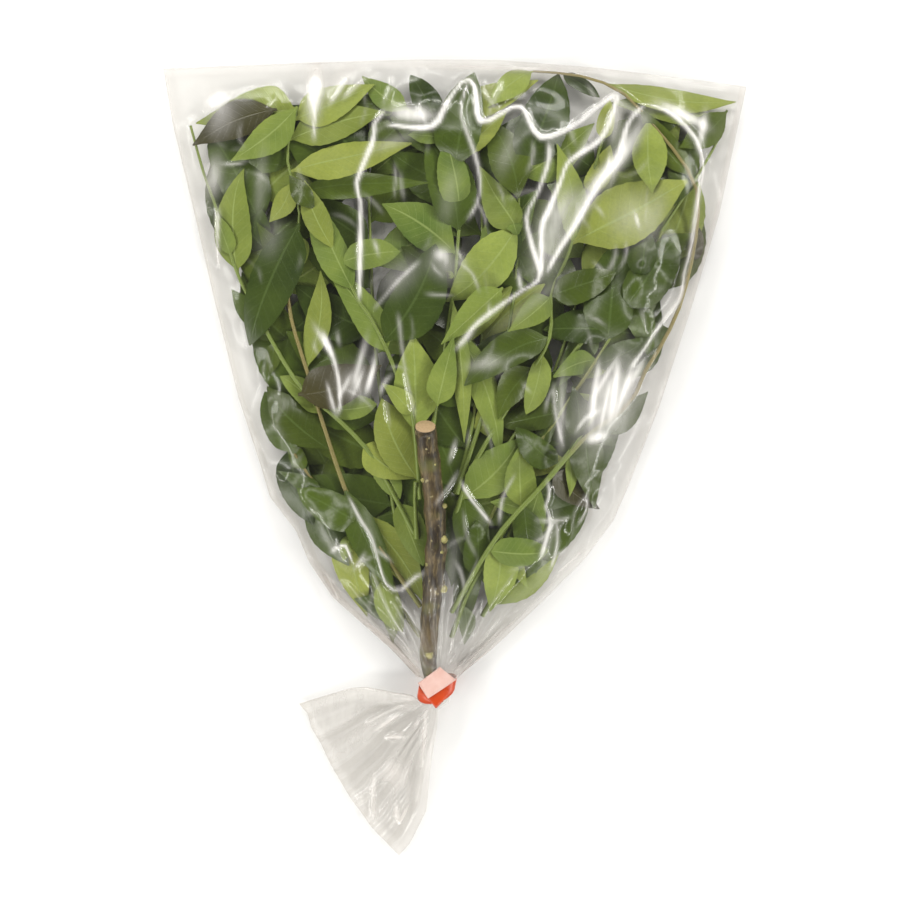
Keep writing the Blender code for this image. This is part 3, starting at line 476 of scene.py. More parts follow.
class Leaflet:
    """Where a leaflet lies: its midrib's plan, width and the heights of its control net."""

    def __init__(self, base, tip, width, side, layer, pile, lively=1.0):
        self.base, self.tip = np.array(base[:2], float), np.array(tip, float)
        self.side = side
        self.forward = self.tip - self.base
        self.length = float(np.linalg.norm(self.forward))
        self.sideways = np.array([-self.forward[1], self.forward[0]]) / self.length
        self.width = width = min(width, 0.5 * self.length)
        self.bow = rng.uniform(*BOW) * self.length
        self.skew, self.shift = rng.uniform(*SKEW), rng.uniform(*SHIFT)
        self.outline = OUTLINE_NAMES[rng.integers(3)]
        self.phase = rng.uniform(0, 2 * math.pi)
        free = min(max(float(min(inset(*self.base), inset(*self.tip))) / FLAT_NEAR_EDGE, 0.3), 1.0)
        lively = lively * free
        self.ripple = rng.uniform(*RIPPLE) * min(width / 12, 1) * free
        self.tone = rng.uniform(0, 1)
        roll = rng.uniform(*ROLL) * lively
        cup = rng.uniform(*CUP[side]) * lively
        if rng.uniform() < FOLDED_SHARE:
            cup += FOLDED_CUP * lively
        curl = rng.uniform(*CURL) * lively
        shares = np.array(LEAF_KNOTS)
        heights = []
        for share in shares:
            for across in (-1, 0, 1):
                spot = self.plan(np.array([share]), np.array([across / 2.0]))[0]
                height = float(layer_height(spot[0], spot[1], layer))
                height += width / 2 * (roll * across + cup * abs(across)) - curl * (share - 0.4) ** 2
                heights.append(base[2] if share == 0 else height)
        shares, sides = np.meshgrid(np.linspace(0.03, 0.99, 26), np.linspace(-1, 1, 9), indexing="ij")
        shares, sides = shares.ravel(), sides.ravel()
        halves = np.interp(shares, *zip(*OUTLINES["oval"])) / 2
        spots = self.plan(shares, sides * halves)
        weights = self.weights(shares, sides * halves)
        ripple = self.edge_ripple(shares, sides * halves)
        need = pile.under(spots[:, 0], spots[:, 1]) + LEAF_GAP - ripple
        self.heights = settle(weights, np.array(heights), need, held=3)
        self.heights[3:] = np.minimum(self.heights[3:], max(need.max(), base[2]) + HIGHEST_OVER_PILE)
        surface = np.column_stack([spots, weights @ self.heights + ripple])
        fine = [surface]
        for step in ((0.5, 0), (-0.5, 0), (0, 0.5), (0, -0.5)):
            fine.append(surface + np.array([step[0], step[1], 0]))
        pile.add(np.vstack(fine), 0.15)

    def plan(self, shares, across):
        """Plan positions at shares of the length and at widths across, from -0.5 to 0.5."""
        bend = self.bow * 4 * shares * (1 - shares)
        across = across * (1 + self.skew * np.sign(across))
        along = shares + self.shift * np.sin(math.pi * shares)
        return (self.base + np.outer(along, self.forward)
                + np.outer(across * self.width + bend, self.sideways))

    @staticmethod
    def weights(shares, across):
        """How much each height of the control net counts."""
        sides = 2 * across
        over = np.column_stack([sides * (sides - 1) / 2, 1 - sides ** 2, sides * (sides + 1) / 2])
        along = spline_weights(LEAF_KNOTS, shares)
        return (along[:, :, None] * over[:, None, :]).reshape(len(shares), -1)

    def edge_ripple(self, shares, across):
        """Height of the wavy edge."""
        wave = np.sin(2 * math.pi * 2.2 * shares + self.phase + 2.0 * np.sign(across))
        return self.ripple * wave * np.abs(2 * across) ** 2.5

    def made(self, blank):
        """The blank's points laid where the leaflet lies."""
        flat = np.empty(len(blank.data.vertices) * 3)
        blank.data.vertices.foreach_get("co", flat)
        flat = flat.reshape(-1, 3)
        spots = self.plan(flat[:, 0], flat[:, 1])
        z = self.weights(flat[:, 0], flat[:, 1]) @ self.heights + self.edge_ripple(flat[:, 0], flat[:, 1])
        z += np.sign(flat[:, 2]) * LEAF_HALF_WALL
        return np.column_stack([spots, z])


def leaflet_object(name, leaflet):
    """A copy of the blank with its own mesh, laid in the pile."""
    blank = blanks["slender" if leaflet.width < 0.28 * leaflet.length else leaflet.outline]
    made = linked(name, blank.data.copy())
    made.data.vertices.foreach_set("co", (leaflet.made(blank) * MM).ravel())
    made.data.materials.clear()
    for face in {LIGHT: ("leaf_under", "leaf_upper"), DARK: ("leaf_upper", "leaf_under"),
                 BROWN: ("leaf_withered", "leaf_withered")}[leaflet.side]:
        made.data.materials.append(materials[face])
    marked(made.data, "tone", np.full(len(made.data.vertices), leaflet.tone))
    return made


# How woody each compound leaf's stalk is, from 0, green, to 1, tan: low, in the middle and, where it
# differs from the middle, at the far end
STALK_TONES = {"06": (0.75, 0.9), "08": (0.5, 0.6), "09": (0.2, 0.3), "10": (0.3, 0.3),
               "11": (0.8, 0.95, 0.1), "12": (0.25, 0.15), "13": (0.2, 0.3), "14": (0.0, 0.35),
               "15": (0.1, 0.1), "16": (0.05, 1.0)}
PLAIN_TONES = (0.35, 0.35)
TONE_PLACES = (-10, 25, 76, 90)
# How far some stalks lie below the top of the pile, hidden by leaves
SUNK_STALKS = {"08": 1.8, "09": 1.8, "10": 2.0, "13": 2.0}


def stalk_object(name, points, radii, finish, tones=(0.5, 0.5)):
    """A round stalk through points, closed at both ends."""
    curve = bpy.data.curves.new(name, "CURVE")
    curve.dimensions = "3D"
    curve.bevel_depth = MM
    curve.bevel_resolution = 2
    curve.use_fill_caps = True
    spline = curve.splines.new("POLY")
    spline.points.add(len(points) - 1)
    for knot, point, radius in zip(spline.points, points, radii):
        knot.co = (*(np.array(point) * MM), 1.0)
        knot.radius = radius
    drawn = linked(name, curve)
    deselect()
    drawn.select_set(True)
    bpy.context.view_layer.objects.active = drawn
    bpy.ops.object.convert(target="MESH")
    drawn = bpy.context.object
    drawn.data.materials.clear()
    drawn.data.materials.append(materials[finish])
    drawn.data.shade_smooth()
    up_the_bag = [corner.co.y / MM for corner in drawn.data.vertices]
    marked(drawn.data, "tone", np.interp(up_the_bag, TONE_PLACES, (tones[0], tones[1], tones[1], tones[-1])))
    return drawn


def joined(name, parts):
    """The parts as one object."""
    deselect()
    for part in parts:
        part.select_set(True)
    bpy.context.view_layer.objects.active = parts[0]
    bpy.ops.object.join()
    made = bpy.context.object
    made.name = name
    made.data.name = name
    return made


def stalk_line(route, layer, pile, sunk):
    """The stalk's points and radii, lying on the pile or sunk between its leaves."""
    plan = smooth_route(route, STALK_STEPS)
    radii = np.linspace(STALK_BASE_RADIUS, STALK_TIP_RADIUS, len(plan))
    rest = np.array([pile.highest(x, y, 1) + radius + 0.15 for (x, y), radius in zip(plan, radii)])
    heights = np.maximum([layer_height(x, y, layer) for x, y in plan], rest)
    for _ in range(12):
        heights[1:-1] = np.maximum((heights[:-2] + 2 * heights[1:-1] + heights[2:]) / 4, rest[1:-1])
    middle = np.sin(math.pi * np.linspace(0, 1, len(plan)))
    heights = np.maximum(heights - sunk * np.minimum(2.5 * middle, 1), 1.0)
    return np.column_stack([plan, heights]), radii


# Leaflets of the hidden fronds: how many, where along the stalk, how far turned from it, how long and wide
LOW_LEAFLETS, LOW_STEPS, LOW_START, LOW_SPACING = 21, 40, 0.05, 0.046
LOW_TURN, LOW_TURN_SPREAD = 50, 14
LOW_LENGTH, LOW_LENGTH_SPREAD, LOW_SHORTEST, LOW_WIDTH = 40, 5, 14, 0.40


def low_leaflets(route, number):
    """Leaflets in turn left and right of the stalk, for the fronds underneath."""
    plan = smooth_route(route, LOW_STEPS) / PLAN_SHRINK
    leaflets = []
    for index in range(LOW_LEAFLETS):
        share = LOW_START + LOW_SPACING * index
        place = int(share * LOW_STEPS)
        ahead = plan[min(place + 2, LOW_STEPS)] - plan[place - 2]
        heading = math.atan2(ahead[1], ahead[0])
        turn = math.radians(LOW_TURN + LOW_TURN_SPREAD * wobble(number, index)) * (1 if index % 2 else -1)
        length = LOW_LENGTH + LOW_LENGTH_SPREAD * wobble(index, number + 3)
        x = plan[place][0] + length * math.cos(heading + turn)
        y = plan[place][1] + length * math.sin(heading + turn)
        x = min(max(x, x_at(BAG_LEFT_SIDE, y) + 12), x_at(BAG_RIGHT_SIDE, y) - 12)
        y = min(y, seal_y(x) - 14)
        if math.hypot(x - plan[place][0], y - plan[place][1]) < LOW_SHORTEST:
            continue
        leaflets.append((share, x, y, length * LOW_WIDTH, LIGHT if index % 4 == 2 else DARK))
    return leaflets


def wobble(leaf, part):
    """A fixed, lively number from -1 to 1 for a part of a leaf."""
    return math.sin(12.9898 * leaf + 78.233 * part + 1.7 * leaf * part)


def filled_in(line, knots, places):
    """Points of a line, known at its knots, at the places."""
    return np.column_stack([np.interp(places, knots, line[:, axis]) for axis in range(line.shape[1])])


def rooted(share, tip, width, shares, line):
    """The place on the stalk that a leaflet grows from, far enough from its tip for its width."""
    for down in np.arange(0, 0.14, 0.02):
        place = filled_in(line[:, :2], shares, max(share - down, 0.02))[0]
        if math.hypot(*(tip - place)) >= SLIMMEST * width:
            return max(share - down, 0.02)
    return share


def frond(name, layer, route, leaflets, pile):
    """A compound leaf: its stalk and leaflets, as one piece."""
    line, radii = stalk_line(route, layer, pile, SUNK_STALKS.get(name[-2:], 0.0))
    shares = np.linspace(0, 1, len(line))
    rng.uniform(0, 1)           # a draw that keeps the later draws, and so the leaflets, as they are
    tones = STALK_TONES.get(name[-2:], PLAIN_TONES)
    parts = [stalk_object(name + "_stalk", line, radii, "stalk_skin", tones)]
    for index, (share, tip_x, tip_y, width, side) in enumerate(leaflets):
        tip = np.array((tip_x, tip_y)) * PLAN_SHRINK
        share = rooted(share, tip, width * FULLER, shares, line)
        base = filled_in(line, shares, share)[0]
        laid = Leaflet(base, tip, width * FULLER, side, layer, pile)
        parts.append(leaflet_object(f"{name}_{index}", laid))
    pile.add(filled_in(line, shares, np.linspace(0, 1, 240)), STALK_BASE_RADIUS)
    made = joined("frond_" + name[-2:], parts)
    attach(made, "root")
    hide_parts(name)


def shed_leaflet(name, base, tip, width, side, pile):
    """A loose leaflet on top of the pile."""
    base = np.array(base) * PLAN_SHRINK
    height = max(float(layer_height(base[0], base[1], 1.0)), pile.highest(base[0], base[1], 4) + LEAF_GAP)
    laid = Leaflet((*base, height), np.array(tip) * PLAN_SHRINK, width, side, 1.0, pile, lively=0.6)
    laid.tone = SHED_TONES.get(name, laid.tone)
    shed = leaflet_object("shed_" + name, laid)
    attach(shed, "root")
    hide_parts(name)


def broken_stalk(pile):
    """The loose end of a leaf stalk beside the stem."""
    spots = np.array([(x, y, pile.highest(x, y, 1) + 1.4) for x, y in LOOSE_STALK])
    twig = stalk_object("broken_stalk", spots, LOOSE_STALK_RADII, "stalk_skin", (0.0, 0.0))
    pile.add(filled_in(spots, range(len(spots)), np.linspace(0, len(spots) - 1, 60)), 1.0)
    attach(twig, "root")
    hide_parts("loose_stalk")


# --- main stem ---------------------------------------------------------------------------------

def main_stem(pile):
    """The woody cut stem, drawn out station by station from its cut end."""
    known, cut_end = [point[1] for point in STEM_ROUTE], STEM_ROUTE[-1][1]
    ys = np.linspace(cut_end, known[0], STEM_STATIONS)
    points = np.array([(x_at(STEM_ROUTE, y), y, stem_height(y)) for y in ys])
    radii = np.interp(ys, known, STEM_RADII)
    for place, swell in STEM_SWELLS:
        radii = radii + swell * np.exp(-((ys - place) / STEM_SWELL_LENGTH) ** 2)
    deselect()
    before = radii[0] * STEM_CUT_ROUNDING
    bpy.ops.mesh.primitive_circle_add(vertices=STEM_SIDES, radius=float(radii[0]) * MM * STEM_CUT_ROUNDING,
                                      fill_type="TRIFAN", location=points[0] * MM,
                                      rotation=(math.radians(90), 0, 0))
    stem = bpy.context.object
    bpy.ops.object.mode_set(mode="EDIT")
    bpy.ops.mesh.select_all(action="SELECT")
    rounding = np.array([0, -0.4, 0])
    for station, point in enumerate(points):
        step = point - points[station - 1] if station else rounding
        bpy.ops.mesh.extrude_region_move(TRANSFORM_OT_translate={"value": tuple(step * MM)})
        grow = float(radii[station] / before)
        centre = point if station else point + rounding
        bpy.ops.transform.resize(value=(grow, 1, grow), center_override=tuple(centre * MM))
        before = radii[station]
    bpy.ops.object.mode_set(mode="OBJECT")
    place_applied()
    for corner in stem.data.vertices:
        if corner.co.y > (cut_end - 2.4) * MM:
            corner.co.y -= STEM_CUT_SLANT * (corner.co.z - stem_height(cut_end) * MM)
    ridges = np.random.default_rng(5).uniform(-1, 1, (len(STEM_RIDGES), 3))
    for corner in stem.data.vertices:
        y = corner.co.y / MM
        dx, dz = corner.co.x / MM - x_at(STEM_ROUTE, y), corner.co.z / MM - stem_height(y)
        turn = math.atan2(dz, dx)
        push = 0.0
        for lines, (a, b, c) in zip(STEM_RIDGES, ridges):
            push += 0.10 * math.sin(lines * turn + 3 * a + 0.12 * (1 + b) * y) * (1 + c) / 2
        push += 0.12 * math.sin(0.9 * y + 2 * turn)
        size = math.hypot(dx, dz)
        if size > 2.0:
            corner.co.x += dx / size * push * MM
            corner.co.z += dz / size * push * MM
    stem.data.materials.append(materials["stem_bark"])
    stem.data.materials.append(materials["cut_wood"])
    for face in stem.data.polygons:
        if face.center.y > (cut_end - 5) * MM and face.normal.y > 0.6:
            face.material_index = 1
    stem.data.shade_smooth()
    parts = [stem]
    for index, (y, turn, length, radius, rise) in enumerate(STEM_BUDS):
        way = np.array([math.cos(math.radians(turn)), math.sin(math.radians(turn)), rise])
        start = np.array([x_at(STEM_ROUTE, y), y, stem_height(y)])
        points = [start + way * length * share for share in (0, 0.5, 0.8, 0.95, 1.0)]
        radii = radius * np.array([1.2, 1.1, 1.0, 0.8, 0.5])
        parts.append(stalk_object(f"bud_{index}", points, radii, "scar"))
    made = joined("woody_stem", parts)
    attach(made, "root")
    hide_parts("main_stem")
    dense = []
    for y in np.arange(known[0], cut_end, 0.5):
        x, radius = x_at(STEM_ROUTE, y), np.interp(y, known, STEM_RADII)
        for across in np.linspace(-1, 1, 17):
            dense.append((x + across * radius, y, stem_height(y) + radius * math.sqrt(1 - across ** 2)))
    pile.add(np.array(dense))


# --- film --------------------------------------------------------------------------------------

FILM_ROWS, FILM_COLUMNS = 262, 236
FILM_WIDTH = 225.0
UNDER_PLEATS, UNDER_GAP, NECK_ROWS = 14, 0.25, 14
FILM_SPREADS, FILM_PULLS, FILM_SMOOTHINGS = 70, 900, 14
CRINKLES, GATHERS = 90, 17
CREASE_STEP, CREASE_TAPER = 3.5, 4.0
# How hazy, shiny and dulled the underside is
UNDERSIDE = (0.002, 0.1, 0.3)
# Creases of the film: points of the plan, height of the ridge and how much the film is whitened along it, as
# stress whitening together with a painted highlight
CREASES = [
    ([(-37.6, 60.8), (-37.2, 98.2), (-38.8, 106), (-32.2, 124.1), (-32.2, 129.5), (-27.6, 135.7)], 0.9, 0.8),
    ([(-27.6, 129.5), (-9.8, 128.3), (-4.1, 137.2), (1.4, 146.1), (4.8, 148), (7.5, 143.4), (7.9, 134.5),
      (10.2, 130.3), (17.2, 133.8), (22.6, 136.9), (26.1, 135.7), (29.5, 127.6), (33, 124.1), (39.2, 125.7),
      (47.3, 130.3), (55.4, 137.2), (63.1, 142.6)], 0.9, 0.9),
    ([(4.8, 148), (1.7, 136.4), (2.5, 130.3), (5.6, 122.2), (8.3, 113.3), (9.1, 106.3), (8.3, 99.4),
      (4.1, 92.1)], 0.7, 0.5),
    ([(63.1, 142.6), (60.4, 133.4), (55.4, 123.3), (43.8, 115.2), (40.3, 107.1), (34.9, 94), (33, 88.6),
      (33, 70.1)], 0.9, 0.8),
    ([(35.7, 123.3), (35.7, 115.2), (31.5, 102.9), (27.2, 94), (28.8, 84), (32.2, 70.1), (25.3, 64.7),
      (16.4, 58.5), (7.5, 51.5), (-0.6, 41.5)], 0.8, 0.65),
    ([(73.9, 137.6), (69.3, 133.8), (65.8, 127.9), (62.3, 115.2), (56.2, 107.9), (51.5, 100.2), (45.4, 89.4),
      (39.2, 79.7), (34.9, 71.6)], 0.9, 0.7),
    ([(73.9, 137.6), (83.6, 133.8), (93.2, 124.1), (96.3, 112.1), (94.4, 104.4), (90.9, 80.5), (88.6, 71.6),
      (87, 62), (80.1, 53.1), (71.2, 40), (67.4, 34.5)], 0.75, 0.62),
    ([(18, 148), (11.8, 131.8)], 0.5, 0.3),
    ([(50.8, 146.1), (55.4, 138.4)], 0.5, 0.3),
    ([(-55, 149.5), (-55.4, 123)], 0.7, 0.5),
    ([(-93.2, 98.2), (-93.2, 73.9)], 0.5, 0.6),
    ([(-32.2, 57.3), (-23, 68), (-14, 76.6)], 0.4, 0.35),
    ([(52.8, 76), (58, 71.5)], 0.4, 0.4),
    ([(68.9, 95.9), (70.8, 88.2)], 0.4, 0.5),
    ([(0, 81.8), (2.6, 75.4)], 0.4, 0.4),
    ([(23.9, 72.8), (25.1, 63.8)], 0.5, 0.5),
    ([(-51.9, 49.6), (-46.5, 34.5), (-45, 20.7), (-46.5, 16)], 0.8, 0.6),
    ([(-50.4, 29.9), (-46.5, 16)], 0.6, 0.5),
    ([(-22.6, 56.2), (-19.9, 34.5), (-16, 16)], 0.5, 0.3),
    ([(0, 41.9), (7.1, 49.6)], 0.5, 0.5),
    ([(-41.9, -14.5), (-37.2, -23.7), (-32.6, -31.5), (-28, -47.3), (-24.1, -51.1), (-20.3, -50.4),
      (-16.8, -46.5), (-12.2, -44.2)], 0.45, 0.45),
    ([(-50.1, 137.1), (-42.4, 148.7)], 0.5, 0.5),
    ([(-45, 139.7), (-34.7, 149.3)], 0.5, 0.45),
    ([(-49.6, -37.2), (-43.4, -33.4), (-40.3, -41.1)], 0.7, 0.6),
    ([(-40.3, -44.2), (-35, -36.5)], 0.6, 0.5),
    ([(-57.7, -22.2), (-55, -19.9)], 0.5, 0.5),
    ([(0, 7.5), (-2.9, -2.1)], 0.5, 0.4),
    ([(1.7, -8.7), (5.2, -15.2), (13.7, -25.7)], 0.7, 0.6),
    ([(34.9, -8.3), (36.1, -13.7), (34.2, -19.9), (36.5, -23.7), (34.5, -31.5), (32.2, -39.6)], 0.7, 0.5),
    ([(38.4, -23.7), (39.2, -29.1), (38.4, -36.5), (36.1, -44.2)], 0.6, 0.4),
    ([(50, -35.7), (38.4, -45.7)], 0.7, 0.5),
    ([(37.6, 29.1), (38.4, 16.8), (41.5, 3.7)], 0.5, 0.35),
]
# Places of painted glare on the film, reflections laid into its haziness: x and y of the middle, half length,
# half width, turn in degrees, strength
GLARE_PLACES = [
    (65, 119, 14, 2.8, 57, 0.42), (49, 96, 13, 2.2, 58, 0.40), (61, 128, 8, 2.2, 80, 0.35),
    (-92.5, 137, 5, 5, 0, 0.32), (-90, 130, 7, 5, 60, 0.22), (-54.5, 141, 11, 2.8, 86, 0.66),
    (-17, 131.5, 8, 3.0, -8, 0.72),
    (87.0, 131.8, 9, 2.0, -26, 0.80), (94.5, 126, 7, 1.6, 80, 0.55), (58.5, 21, 17, 10.5, 66, 0.50),
    (52.8, 25, 10.5, 1.0, 83, 0.5), (60.5, 26, 10, 1.2, 82, 0.5), (64.5, 26.5, 9, 0.9, 71, 0.45),
    (69, 33, 6, 1.2, 60, 0.4), (53.5, 7.8, 3.5, 1.6, 20, 0.6), (40, 18, 14, 1.5, 88, 0.32),
    (57, 31, 8, 0.8, 60, 0.35), (56.8, 20, 9, 0.6, 78, 0.35), (-93.5, 108, 8, 3.2, 80, 0.40),
    (-46, 145, 9, 3.5, 45, 0.30), (35.5, 84, 15, 5.5, 76, 0.36), (42, 97, 7, 4, 60, 0.22),
    (57, 109, 13, 2.4, 48, 0.42), (50, 121, 9, 1.6, 60, 0.30), (-6, 77.8, 2.6, 2.4, 0, 0.42),
    (-37, 36, 9, 1.2, 75, 0.45), (-32, 33, 8, 1.0, 80, 0.35), (20, 150.2, 38, 1.3, -2, 0.40),
    (-71, 84, 7, 4, 70, 0.12), (-4, 74, 6, 7, 60, 0.22),
    (11, 36, 7, 2.4, 12, 0.26), (-51, 45, 6, 1.2, -60, 0.50), (30, 60, 16, 2.2, 38, 0.12),
    (-24, 121, 9, 2.2, 20, 0.20), (20, 118, 10, 3, 70, 0.14), (75, 90, 12, 4, 70, 0.14),
    (-3, 100, 10, 3, 80, 0.12), (-75, 105, 12, 2, 85, 0.16), (35, -32, 12, 2.0, 78, 0.20),
    (67, 92, 9, 7, 60, 0.20), (-22, 69, 8, 5, 40, 0.20), (-39, 28.5, 8, 6, 0, 0.22),
    (-33, 30, 6, 0.8, 72, 0.40),
    (-37.5, 28.5, 6, 0.7, 68, 0.34), (-42.5, 27.5, 5, 0.8, 64, 0.34), (-46, -35, 8, 2.0, -55, 0.18),
    (-2, -45, 14, 2.0, 85, 0.14), (66, 134, 7, 1.5, -35, 0.25),
]
# Painted light and shade of the mouth's broad folds: how greyed the film of the mouth is, by the place across
# it
MOUTH_FOLD_SHADE = [(0, 0.26), (0.13, 0.16), (0.19, 0.24), (0.225, 0.56), (0.26, 0.36), (0.36, 0.24), (0.43, 0.46),
               (0.50, 0.50), (0.58, 0.28), (0.66, 0.46), (0.76, 0.30), (0.86, 0.48), (1, 0.36)]
# Creases of the mouth, listed as above, whitened along them with painted glints
MOUTH_CREASES = [
    ([(-21.8, -99), (-27, -103), (-31.8, -106.3)], 0.5, 0.45),
    ([(-28.4, -109), (-24, -108.6), (-19.9, -109)], 0.9, 0.65),
    ([(-14.5, -101), (-15, -103), (-16.4, -105)], 0.5, 0.45),
    ([(-23.7, -134.9), (-22.6, -142.6), (-18.3, -134.9)], 0.5, 0.55),
    ([(-31.8, -122.6), (-32.4, -131), (-32.6, -140.7)], 1.1, 0.35),
    ([(-19, -96), (-26, -98.5), (-36, -104)], 0.4, 0.25),
    ([(-12, -98), (-12.5, -110), (-14, -122)], 0.5, 0.35),
]
# Folds of the mouth: place across, half width, height and how far they drift towards the rim
MOUTH_FOLDS = ((0.05, 0.06, 0.6, 0.0), (0.17, 0.08, 0.8, 0.02), (0.33, 0.09, 1.0, -0.03),
               (0.47, 0.07, 0.7, 0.03), (0.58, 0.045, 0.9, 0.04), (0.67, 0.04, 0.6, -0.03),
               (0.76, 0.045, 1.0, 0.02), (0.85, 0.03, 0.6, 0.0), (0.93, 0.035, 0.8, 0.0))
MOUTH_STEPS = 62
# The mouth's one painted highlight: middle, half sizes, strength
MOUTH_GLINT = ((-24, -121), (3.2, 4.0), 0.4)


def painted_glare(x, y):
    """Haziness that paints the glare of the film's bright places."""
    haze_and_glare = np.zeros_like(x)
    for middle_x, middle_y, half_length, half_width, turn, strength in GLARE_PLACES:
        way = math.radians(turn)
        along = (x - middle_x) * math.cos(way) + (y - middle_y) * math.sin(way)
        across = (y - middle_y) * math.cos(way) - (x - middle_x) * math.sin(way)
        haze_and_glare += strength * np.exp(-np.abs(along / half_length) ** 2.5 - np.abs(across / half_width) ** 2)
    return haze_and_glare


def crease_field(x, y, creases):
    """Height of the creases' ridges over points of the plan, and how much they pale the film: stress
    whitening along each crease, with a painted highlight on it.
    """
    ridge, whitening_and_glint = np.zeros_like(x), np.zeros_like(x)
    for points, height, glint_whiten in creases:
        points = smooth_route(points, max(int(travelled(points)[-1] / CREASE_STEP), 2))
        gone, total = 0.0, travelled(points)[-1]
        best = np.full(x.shape, 1e9)
        along = np.zeros_like(x)
        for start, end in zip(points, points[1:]):
            step = end - start
            length = np.linalg.norm(step)
            share = np.clip(((x - start[0]) * step[0] + (y - start[1]) * step[1]) / length ** 2, 0, 1)
            away = np.hypot(x - start[0] - share * step[0], y - start[1] - share * step[1])
            closer = away < best
            best = np.where(closer, away, best)
            along = np.where(closer, gone + share * length, along)
            gone += length
        ends = np.clip(np.minimum(along, total - along) / CREASE_TAPER + 0.15, 0, 1)
        lively = 0.84 + 0.20 * np.sin(along * 0.17 + height * 40)
        core = (0.56 + 0.28 * glint_whiten) * lively
        reach = 1.1 + 1.0 * height
        ridge = np.maximum(ridge, 0.58 * reach * ends * np.clip(1 - best / reach, 0, 1))
        whitening_and_glint = np.maximum(whitening_and_glint, glint_whiten * ends * np.minimum(1.25 * np.exp(-(best / core) ** 2), 1))
    return ridge, whitening_and_glint


def softened(values):
    """Values of the film's grid, a little smoothed."""
    inner = (values[1:-1, :-2] + values[1:-1, 2:] + values[:-2, 1:-1] + values[2:, 1:-1]) / 4
    values[1:-1, 1:-1] = 0.6 * values[1:-1, 1:-1] + 0.4 * inner
    return values


def gathers():
    """Thin creases that run out from the neck, whitened a little, partly with painted glints."""
    lively = np.random.default_rng(31)
    made = []
    for index in range(GATHERS):
        share = (index + lively.uniform(0.2, 0.8)) / GATHERS
        start_y = NECK_START + lively.uniform(3, 12)
        end_y = start_y + lively.uniform(12, 42)
        points = []
        for y in (start_y, (start_y + end_y) / 2, end_y):
            left, right = x_at(BAG_LEFT_SIDE, y), x_at(BAG_RIGHT_SIDE, y)
            points.append((left + (right - left) * (share + lively.uniform(-0.02, 0.02)), y))
        made.append((points, lively.uniform(0.1, 0.3), lively.uniform(0.08, 0.24)))
    return made


def crinkles():
    """Small stray creases all over the bag, longer near the neck and more or less in line with it, each
    whitened with a painted glint.
    """
    lively = np.random.default_rng(77)
    made = []
    while len(made) < CRINKLES:
        x, y = lively.uniform(-95, 95), lively.uniform(-60, 145)
        if inset(x, y) < 9:
            continue
        heading = math.atan2(y + 95, x + 8) + lively.normal(0, 0.55)
        length = lively.uniform(5, 16) * (1.4 if y < 0 else 1)
        bend = lively.uniform(-0.15, 0.15) * length
        way = np.array([math.cos(heading), math.sin(heading)])
        side = np.array([-way[1], way[0]])
        middle = np.array([x, y])
        points = [middle - way * length / 2, middle + side * bend, middle + way * length / 2]
        made.append((points, lively.uniform(0.15, 0.5), lively.uniform(0.05, 0.40)))
    return made


def body_plan():
    """Plan of the bag's upper face, rows from the neck to the sealed end."""
    shares = np.linspace(0, 1, FILM_COLUMNS + 1)
    levels = np.linspace(0, 1, FILM_ROWS + 1)
    flat_y = NECK_START + levels * (BAG_END - NECK_START)
    left, right = x_at(BAG_LEFT_SIDE, flat_y), x_at(BAG_RIGHT_SIDE, flat_y)
    x = left[:, None] + shares[None, :] * (right - left)[:, None]
    y = NECK_START + levels[:, None] * (seal_y(x) - NECK_START)
    return x, y, shares


def settled_film(x, y, pile):
    """The film drawn tight over the pile like a skin."""
    dx = (x[:, -1] - x[:, 0])[:, None] / FILM_COLUMNS
    dy = (y[-1, :] - y[0, :])[None, :] / FILM_ROWS
    across, along = 1 / dx[1:-1] ** 2, 1 / dy[:, 1:-1] ** 2
    need = pile.under(x, y) + FILM_CLEARANCE
    column, row = pile.cell(x, y)
    for step in ((1, 0), (-1, 0), (0, 1), (0, -1)):
        shifted = pile.height[np.clip(column + step[0], 0, pile.SIZE[0] - 1),
                              np.clip(row + step[1], 0, pile.SIZE[1] - 1)]
        need = np.maximum(need, shifted + FILM_CLEARANCE)
    need = np.maximum(need, EDGE_HEIGHT)
    rim = np.zeros_like(x, bool)
    rim[0], rim[-1], rim[:, 0], rim[:, -1] = True, True, True, True
    edge = np.full_like(x, EDGE_HEIGHT)
    edge[0] = neck_top(np.linspace(0, 1, FILM_COLUMNS + 1))
    need[0] = edge[0]
    room = edge[0][None, :] + NECK_SLOPE * (y - y[0])
    need = np.minimum(need, np.maximum(room, EDGE_HEIGHT))
    inside = inset(x, y)
    slack = EDGE_HEIGHT + EDGE_SLOPE * inside
    edge_share = np.clip((STEEP_EDGE - inside) / 8, 0, 1)
    slope = FILM_SLOPE + STEEPER * edge_share
    rise = slope * (BAG_END - NECK_START) / FILM_ROWS
    fall = slope * np.broadcast_to(dx, need.shape)
    for _ in range(FILM_SPREADS):
        need[1:-1] = np.maximum(need[1:-1], np.maximum(need[:-2], need[2:]) - rise[1:-1])
        sides = np.maximum(need[:, :-2], need[:, 2:])
        need[:, 1:-1] = np.maximum(need[:, 1:-1], sides - fall[:, 1:-1])
    sag = (FILM_SAG + EDGE_SAG * edge_share)[1:-1, 1:-1]
    need = np.minimum(need, np.maximum(room, EDGE_HEIGHT))
    need = np.minimum(need, slack)
    top = np.where(rim, edge, need)
    for _ in range(FILM_PULLS):
        mean = (across * (top[1:-1, :-2] + top[1:-1, 2:]) + along * (top[:-2, 1:-1] + top[2:, 1:-1]))
        mean /= 2 * (across + along)
        top[1:-1, 1:-1] = np.maximum(mean - sag, need[1:-1, 1:-1])
    for _ in range(FILM_SMOOTHINGS):
        mean = (top[1:-1, :-2] + top[1:-1, 2:] + top[:-2, 1:-1] + top[2:, 1:-1]) / 4
        top[1:-1, 1:-1] = 0.5 * top[1:-1, 1:-1] + 0.5 * mean
    return top


def neck_top(shares):
    """Height of the film's upper face where the neck begins."""
    turn = math.pi * (1 - shares)
    return NECK_AXIS_HEIGHT + NECK_HALF_HEIGHT * np.sin(turn) ** 0.8


